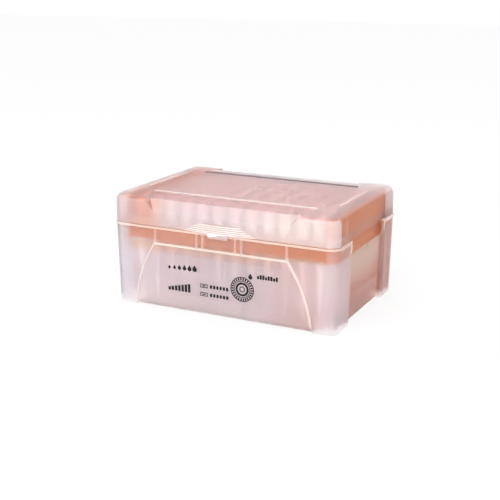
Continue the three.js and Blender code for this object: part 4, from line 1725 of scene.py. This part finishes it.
    def tongue(self) -> list[Solid]:
        """Make the latch tongue.

        Returns:
            The plate that hangs in front of the flange, and the root that carries it.
        """
        sizes = self.sizes
        front = sizes.half_width + sizes.flange + self.tongue_gap + self.tongue_thickness
        low, high = sizes.rim - self.tongue_hang, sizes.lid_bottom + 0.9
        points = [(-self.tongue_half, high)]
        for side in (-1, 1):
            for along, across in arc((0, 0), 1, 0, 90, 6):
                out, up = (along, across) if side < 0 else (across, along)
                points.append((side * (self.tongue_half - 1 + out), low + 1 - up))
        points.append((self.tongue_half, high))
        plate = Solid.extruded(points, lambda a, b, c: (a, -front + c, b),
                               [(0, -0.16), (0.06, -0.05), (0.2, 0), (self.tongue_thickness - 0.1, 0),
                                (self.tongue_thickness, -0.1)])
        root = Solid.block((-self.tongue_half + 0.02, -front + 0.3, sizes.lid_bottom + 0.02),
                           (self.tongue_half - 0.02, -sizes.half_width + 0.6, high - 0.02))
        return [plate, root]

    def hook(self) -> Solid:
        """Make a hook that snaps over the hinge pin.

        Returns:
            The hook with its gusset, its bore and its mouth.
        """
        sizes = self.sizes
        bore = sizes.pin + self.hook_clearance
        outer = bore + self.hook_ring
        start, end = sizes.hinge_place - sizes.hook_half, sizes.hinge_place + sizes.hook_half
        y, z = sizes.hinge_y, sizes.hinge_z
        root, foot = sizes.half_width - sizes.lid_wall / 2, sizes.lid_bottom + 0.2
        gusset = [(root, foot), (y - outer / 2, foot), (y, z + outer - 0.02), (root, z + outer + 4)]
        half, turn = self.hook_mouth_half, math.radians(self.hook_mouth_turn)
        mouth = [(y + a * math.cos(turn) - b * math.sin(turn),
                  z + a * math.sin(turn) + b * math.cos(turn))
                 for a, b in ((0.0, -half), (2 * outer, -half), (2 * outer, half), (0.0, half))]
        body = Solid.plate(ring((y, z), outer, 40), start, end, 0.2).combined(
            [Solid.plate(gusset, start, end, 0.15)], "UNION")
        cutters = [Solid.plate(shape, start - 1, end + 1, 0)
                   for shape in (ring((y, z), bore, 40), mouth)]
        return body.combined(cutters, "DIFFERENCE")

    def gate(self) -> Solid:
        """Make the cutter for the shallow round dimple where the melt came in.

        Returns:
            The cutter.
        """
        top = self.sizes.lid_top
        return Solid.extruded(ring((0, 0), self.gate_radius, 24), upright, [
            (top - 0.3, -0.25), (top - 0.24, -0.1), (top - 0.1, -0.02), (top, 0.05), (top + 1, 0.05)])

    def is_thick(self, middle: Vector) -> bool:
        """Tell whether a face lies on a rib of the top, other than the one at the back."""
        proud = middle.z > self.sizes.lid_top + 0.02
        return proud and middle.y < self.platform_half - self.rib - 0.2

    def on_ridge(self, middle: Vector) -> bool:
        """Tell whether a face lies on a ridge of the thumb grip, or in front of one on the tongue.

        Args:
            middle: The middle of the face.

        Returns:
            Whether it does.
        """
        rise = (middle.z - self.sizes.lid_bottom) / self.grip_pitch
        on_grip = abs(middle.x) < self.grip_half and 0 < rise < self.grip_ridges and rise % 1 < 0.58
        return middle.y < -self.sizes.half_width - 0.05 and on_grip

    def pick(self, middle: Vector, normal: Vector) -> Place:
        """Tell the place of a face.

        Args:
            middle: The middle of the face.
            normal: Which way it faces.

        Returns:
            Its place.
        """
        if self.is_thick(middle):
            return Place.THICK
        if self.on_ridge(middle):
            return Place.RIB
        inside = normal.dot(middle - Vector((0, 0, self.sizes.lid_bottom + 2))) < 0
        plan, x = self.outline, abs(middle.x)
        on_rib = -self.rib - 0.8 < middle.y - self.platform_half < 0.3
        if on_rib and x < self.recess_top_half + 0.6 and not inside and middle.z > self.recess_start:
            return Place.BACK_EDGE
        if abs(normal.z) > 0.6:
            return Place.TOP_INSIDE if inside else Place.TOP_OUTSIDE
        # Painted shade: the end walls take the clearer end finish.
        if x > plan.half_x - 3 and abs(middle.y) < plan.half_y - plan.corner:
            return Place.END_INSIDE if inside else Place.END_OUTSIDE
        # Painted light: only the front right corner, which faces the lamp, takes the lit copy of the
        # finish.
        if middle.x > plan.half_x - plan.corner and middle.y < 0:
            return Place.CORNER_INSIDE if inside else Place.CORNER_OUTSIDE
        return Place.INSIDE if inside else Place.OUTSIDE

    def build(self, shift: float) -> list[bpy.types.Object]:
        """Build the lid and let it stand for its CAD node.

        Args:
            shift: How far the box's centre stands from the frame's, along Y.

        Returns:
            The lid.
        """
        shell = Solid.shell(self.outline, self.stations(), self.rows)
        hook, rib = self.hook(), self.end_rib()
        extras = [self.grip(), *self.tongue(), hook.mirrored("x"), hook, rib.mirrored("x"), rib]
        whole = shell.combined(extras, "UNION").combined([self.gate()], "DIFFERENCE")
        piece = whole.finished("lid_shell", self.finishes, shift, self.pick)
        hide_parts("lid")
        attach(piece, "lid")
        return [piece]


# ------------------------------------------------------------------ rack and tips


@dataclass(frozen=True)
class RackSizes:
    """The sizes of the rack."""

    wall: float = 1.4
    deck: float = 1.5
    end_gap: float = 0.6
    side_gap: float = 4.3
    corner: float = 4.0
    skirt: float = 34.6
    end_skirt: float = 33.7
    end_wall: float = 10.5
    hole: float = 2.95
    end_recess: float = 2.0
    cut_reach: float = 60.0

    def half_x(self, sizes: BoxSizes) -> float:
        """Return half the rack's length."""
        return sizes.half_length - self.end_recess - sizes.base_wall - self.end_gap

    def half_y(self, sizes: BoxSizes) -> float:
        """Return half the rack's width."""
        return sizes.half_width - sizes.base_wall - self.side_gap


@dataclass
class TipRack:
    """The dyed rack: a drilled deck with a skirt and tall end walls."""

    sizes: BoxSizes
    finish: DyedPolypropylene
    rack: RackSizes = RackSizes()

    def prism(self, half_x: float, half_y: float, radius: float, stations: Sequence[Pair]) -> Solid:
        """Make an upright prism with round corners.

        Args:
            half_x: Half its length.
            half_y: Half its width.
            radius: The radius of its corners.
            stations: Its heights, each with a growth of the outline there.

        Returns:
            The prism.
        """
        points = []
        for sign_x, sign_y, first in ((1, 1, 0), (-1, 1, 90), (-1, -1, 180), (1, -1, 270)):
            centre = (sign_x * (half_x - radius), sign_y * (half_y - radius))
            points += arc(centre, radius, first, first + 90, 8)
        return Solid.extruded(points, upright, stations)

    def holes(self) -> Solid:
        """Make the holes in the deck.

        Returns:
            All of them as one cutter.
        """
        sizes = self.sizes
        mesh = bmesh.new()
        low, high = sizes.deck - self.rack.deck - 1, sizes.deck + 1
        for column in range(sizes.columns):
            for row in range(sizes.rows):
                centre = Vector(((column - (sizes.columns - 1) / 2) * sizes.pitch,
                                 (row - (sizes.rows - 1) / 2) * sizes.pitch, (low + high) / 2))
                bmesh.ops.create_cone(mesh, cap_ends=True, segments=20, radius1=self.rack.hole,
                                      radius2=self.rack.hole, depth=high - low,
                                      matrix=Matrix.Translation(centre))
        return Solid(mesh)

    def build(self, shift: float) -> list[bpy.types.Object]:
        """Build the rack and let it stand for its CAD node.

        Args:
            shift: How far the box's centre stands from the frame's, along Y.

        Returns:
            The rack.
        """
        sizes, rack = self.sizes, self.rack
        half_x, half_y = rack.half_x(sizes), rack.half_y(sizes)
        deck, top = sizes.deck, sizes.deck + rack.end_wall
        inner = (half_x - rack.wall, half_y - rack.wall, rack.corner - rack.wall)
        body = self.prism(half_x, half_y, rack.corner,
                          [(rack.end_skirt, -0.15), (rack.end_skirt + 0.15, 0), (top - 0.3, 0),
                           (top - 0.09, -0.09), (top, -0.3)])
        open_x, beyond = half_x - rack.corner, rack.cut_reach
        cutters = [
            self.prism(*inner, [(rack.end_skirt - 1, 0), (deck - rack.deck, 0)]),
            self.prism(*inner, [(deck, 0), (top + 1, 0)]),
            Solid.block((-open_x, -beyond, deck), (open_x, beyond, top + 1)),
            Solid.block((-open_x, -beyond, rack.end_skirt - 1), (open_x, beyond, rack.skirt)),
            self.holes(),
        ]
        cut = body.combined(cutters, "DIFFERENCE")
        piece = cut.finished("rack", {Place.OUTSIDE: self.finish}, shift)
        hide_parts("tip_rack")
        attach(piece, "base")
        return [piece]


@dataclass
class TipField:
    """All the tips, which Geometry Nodes stand on the grid of the rack."""

    sizes: BoxSizes
    finish: NaturalTips
    sides: int = 24
    flute: float = 0.12
    seed: int = 7

    def profile(self) -> list[tuple[float, float, bool]]:
        """List the rings of a tip's wall, up the outside and down the inside.

        Returns:
            The radius and the height of each, and whether it is fluted.
        """
        length, seat = self.sizes.tip_length, self.sizes.tip_length - self.sizes.head_length
        cone = [(0.3, 0.0), (0.5, 0.05), (0.85, 8.0), (1.25, 18.0), (1.95, 29.5), (2.65, seat - 0.25),
                (2.65, seat), (3.1, seat)]
        flutes = [(3.2, seat + 0.15), (3.35, seat + 5), (3.42, length - 1.2)]
        crown = [(3.45, length - 1.0), (3.5, length - 0.2), (3.42, length), (2.95, length)]
        bore = [(2.75, length - 0.3), (2.5, seat + 3), (2.1, seat - 2), (0.8, 18.0), (0.25, 0.4)]
        return [(*pair, fluted) for part, fluted in (
            (cone, False), (flutes, True), (crown, False), (bore, False)) for pair in part]

    def tip(self) -> bpy.types.Object:
        """Make one tip.

        Returns:
            The tip as a scratch object, standing at the origin.
        """
        mesh = bmesh.new()
        rings = []
        for radius, height, fluted in self.profile():
            level = []
            for side in range(self.sides):
                angle = 2 * math.pi * side / self.sides
                reach = radius - (self.flute if fluted and side % 2 else 0.0)
                corner = (reach * math.cos(angle) * MM, reach * math.sin(angle) * MM, height * MM)
                level.append(mesh.verts.new(corner))
            rings.append(level)
        for low, high in zip(rings, rings[1:] + rings[:1]):
            for side in range(self.sides):
                after = (side + 1) % self.sides
                mesh.faces.new((low[side], low[after], high[after], high[side]))
        bmesh.ops.recalc_face_normals(mesh, faces=mesh.faces)
        return Solid(mesh).loose()

    def grid_tree(self) -> bpy.types.NodeTree:
        """Build the tree that repeats a tip over the grid.

        Returns:
            The tree, with the grid's sizes and the finish as named inputs.
        """
        tree, given = start_repeat("tip_grid", {"Columns": "Int", "Rows": "Int", "Pitch": "Float",
                                                "Place": "Vector", "Seed": "Int", "Finish": "Material"})
        gaps = [calculate(tree, "SUBTRACT", given[name], 1.0) for name in ("Columns", "Rows")]
        spans = [calculate(tree, "MULTIPLY", gap, given["Pitch"]) for gap in gaps]
        grid = add_node(tree, "GeometryNodeMeshGrid", inputs={
            "Size X": spans[0], "Size Y": spans[1], "Vertices X": given["Columns"],
            "Vertices Y": given["Rows"]})
        moved = add_node(tree, "GeometryNodeTransform", inputs={
            "Geometry": grid.outputs["Mesh"], "Translation": given["Place"]})
        turn = add_node(tree, "FunctionNodeRandomValue", {"data_type": "FLOAT_VECTOR"}, {
            0: (0.0, 0.0, 0.0), 1: (0.0, 0.0, 2 * math.pi), "Seed": given["Seed"]})
        stood = add_node(tree, "GeometryNodeInstanceOnPoints", inputs={
            "Points": moved.outputs["Geometry"], "Instance": given["Geometry"],
            "Rotation": turn.outputs[0]})
        end_repeat(stood.outputs["Instances"], given["Finish"])
        return tree

    def build(self, shift: float) -> list[bpy.types.Object]:
        """Stand the tips in the rack and let them stand for their CAD nodes.

        Args:
            shift: How far the box's centre stands from the frame's, along Y.

        Returns:
            The tips, as one piece.
        """
        sizes = self.sizes
        values = {"Columns": sizes.columns, "Rows": sizes.rows, "Pitch": sizes.pitch * MM,
                  "Place": (0.0, shift * MM, sizes.tip_bottom * MM), "Seed": self.seed,
                  "Finish": self.finish.material()}
        piece = stamped(self.tip(), self.grid_tree(), values, "tips")
        names = [f"tip_{row}{column}" for row in "ABCDEFGH" for column in range(1, sizes.columns + 1)
                 if row in "AH" or column in (1, sizes.columns)]
        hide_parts(*names)
        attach(piece, "base")
        return [piece]


# ------------------------------------------------------------------ studio


@dataclass
class Studio:
    """A pale floor, a white surround and one soft lamp."""

    surround: float = 0.95
    key: float = 10.8
    key_size: float = 1.0
    key_place: tuple[float, float, float] = (0.1, -1.0, 0.75)
    key_aim: tuple[float, float, float] = (0.0, 0.0, 0.03)
    floor_half: float = 3.0
    floor_glow: float = 0.8

    @staticmethod
    def seen(tree: bpy.types.NodeTree) -> bpy.types.NodeSocket:
        """Tell what the eye sees, straight, in a reflection or through the walls.

        Args:
            tree: The tree that asks.

        Returns:
            A socket that gives 1 for those rays and 0 for the others.
        """
        ray = add_node(tree, "ShaderNodeLightPath").outputs
        shiny = calculate(tree, "MAXIMUM", ray["Is Transmission Ray"], ray["Is Glossy Ray"])
        return calculate(tree, "MAXIMUM", ray["Is Camera Ray"], shiny)

    def floor(self) -> None:
        """Lay the floor, which looks white to the camera but keeps the shadow of the box."""
        half = self.floor_half
        data = bpy.data.meshes.new("floor")
        data.from_pydata([(-half, -half, 0), (half, -half, 0), (half, half, 0), (-half, half, 0)],
                         [], [(0, 1, 2, 3)])
        # Matt white paper: only the box's soft shadow shows on it.
        material = bpy.data.materials.new("floor_paper")
        material.use_nodes = True
        tree = material.node_tree
        shader = tree.nodes["Principled BSDF"]
        shader.inputs["Base Color"].default_value = linear("f4f4f4")
        shader.inputs["Roughness"].default_value = 0.8
        glow = add_node(tree, "ShaderNodeEmission", inputs={"Color": linear("ffffff"), "Strength": 1.0})
        both = add_node(tree, "ShaderNodeMixShader", inputs={
            0: calculate(tree, "MULTIPLY", self.seen(tree), self.floor_glow),
            1: shader.outputs["BSDF"], 2: glow.outputs["Emission"]})
        tree.links.new(both.outputs["Shader"], tree.nodes["Material Output"].inputs["Surface"])
        data.materials.append(material)
        floor = bpy.data.objects.new("floor", data)
        bpy.context.scene.collection.objects.link(floor)

    def surroundings(self) -> None:
        """Make the world white to the eye, and a plain soft light to everything else."""
        world = bpy.data.worlds.new("surround")
        bpy.context.scene.world = world
        world.use_nodes = True
        tree = world.node_tree
        light = tree.nodes["Background"]
        light.inputs["Color"].default_value = linear("ffffff")
        light.inputs["Strength"].default_value = self.surround
        white = add_node(tree, "ShaderNodeBackground", inputs={
            "Color": linear("ffffff"), "Strength": 1.0})
        both = add_node(tree, "ShaderNodeMixShader", inputs={
            0: self.seen(tree), 1: light.outputs["Background"], 2: white.outputs["Background"]})
        tree.links.new(both.outputs["Shader"], tree.nodes["World Output"].inputs["Surface"])

    def lamp(self) -> None:
        """Hang the square soft lamp that looks at the box."""
        data = bpy.data.lights.new("key", "AREA")
        data.size, data.energy = self.key_size, self.key
        lamp = bpy.data.objects.new("key", data)
        lamp.location = self.key_place
        towards = Vector(self.key_aim) - Vector(self.key_place)
        lamp.rotation_euler = towards.to_track_quat("-Z", "Y").to_euler()
        bpy.context.scene.collection.objects.link(lamp)

    def build(self) -> None:
        """Set the studio up."""
        self.floor()
        self.surroundings()
        self.lamp()


@dataclass
class Viewpoint:
    """The camera, by where it looks and from which side."""

    lens: float = 69.12
    sensor: float = 36.0
    turn: float = 26.606
    height: float = 15.916
    distance: float = 508.62
    aim: tuple[float, float, float] = (-4.17, 0.0, 23.89)

    def build(self, shift: float) -> None:
        """Set up the camera.

        Args:
            shift: How far the box's centre stands from the frame's, along Y.
        """
        data = bpy.data.cameras.new("camera")
        data.sensor_width, data.lens = self.sensor, self.lens
        camera = bpy.data.objects.new("camera", data)
        turn, height = math.radians(self.turn), math.radians(self.height)
        away = Vector((math.sin(turn) * math.cos(height), -math.cos(turn) * math.cos(height),
                       math.sin(height)))
        aim = Vector(self.aim) + Vector((0, shift, 0))
        camera.location = (aim + away * self.distance) * MM
        camera.rotation_euler = (-away).to_track_quat("-Z", "Y").to_euler()
        bpy.context.scene.collection.objects.link(camera)
        bpy.context.scene.camera = camera


# ------------------------------------------------------------------ main


def corners(bounds: Sequence[Vector]) -> list[list[float]]:
    """Return a box's two corners as plain lists."""
    return [[float(v) for v in corner] for corner in bounds]


def main() -> None:
    """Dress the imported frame."""
    logging.basicConfig(level=logging.INFO, format="%(name)s: %(message)s")
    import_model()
    low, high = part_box("tip_rack")
    shift = (low.y + high.y) / 2 / MM
    Viewpoint().build(shift)
    Studio().build()
    sizes = BoxSizes()
    # Colour stops up the tips: white, with the rack's glow painted on, warmest at the crowns.
    tip_painted_glow = ((25.0, "ffffff"), (43.0, "fff6f2"), (48.0, "fff4f0"), (54.0, "ffc6bc"),
                   (60.0, "ffffff"))
    parts = [
        BaseShell(sizes, base_finishes()),
        LidShell(sizes, lid_finishes()),
        # Screen-printed ink, near black and matt, over a polished window that only just shows.
        PanelMarks(sizes, PrintedInk("printed_ink", "1c161a", 0.6), MilkyPolypropylene(
            "polished_polypropylene_window", "fffafa", 0.96, 0.3, 0.0, ior=1.05)),
        # Dyed moulded polypropylene: the one strong colour, which tints all that lies near it.
        TipRack(sizes, DyedPolypropylene("orange_polypropylene", "dc7a16", "d26e0e", 0.5)),
        # Undyed moulded polypropylene: pale satin tips, with the rack's glow painted on towards the
        # deck and on the heads at the left end.
        TipField(sizes, NaturalTips("natural_polypropylene_tips", tip_painted_glow, "ee8e62")),
    ]
    for part in parts:
        for piece in part.build(shift):
            LOG.info("%s: %d faces", piece.name, len(piece.data.polygons))
    bpy.context.scene.view_settings.view_transform = "Standard"


if __name__ == "__main__":
    main()
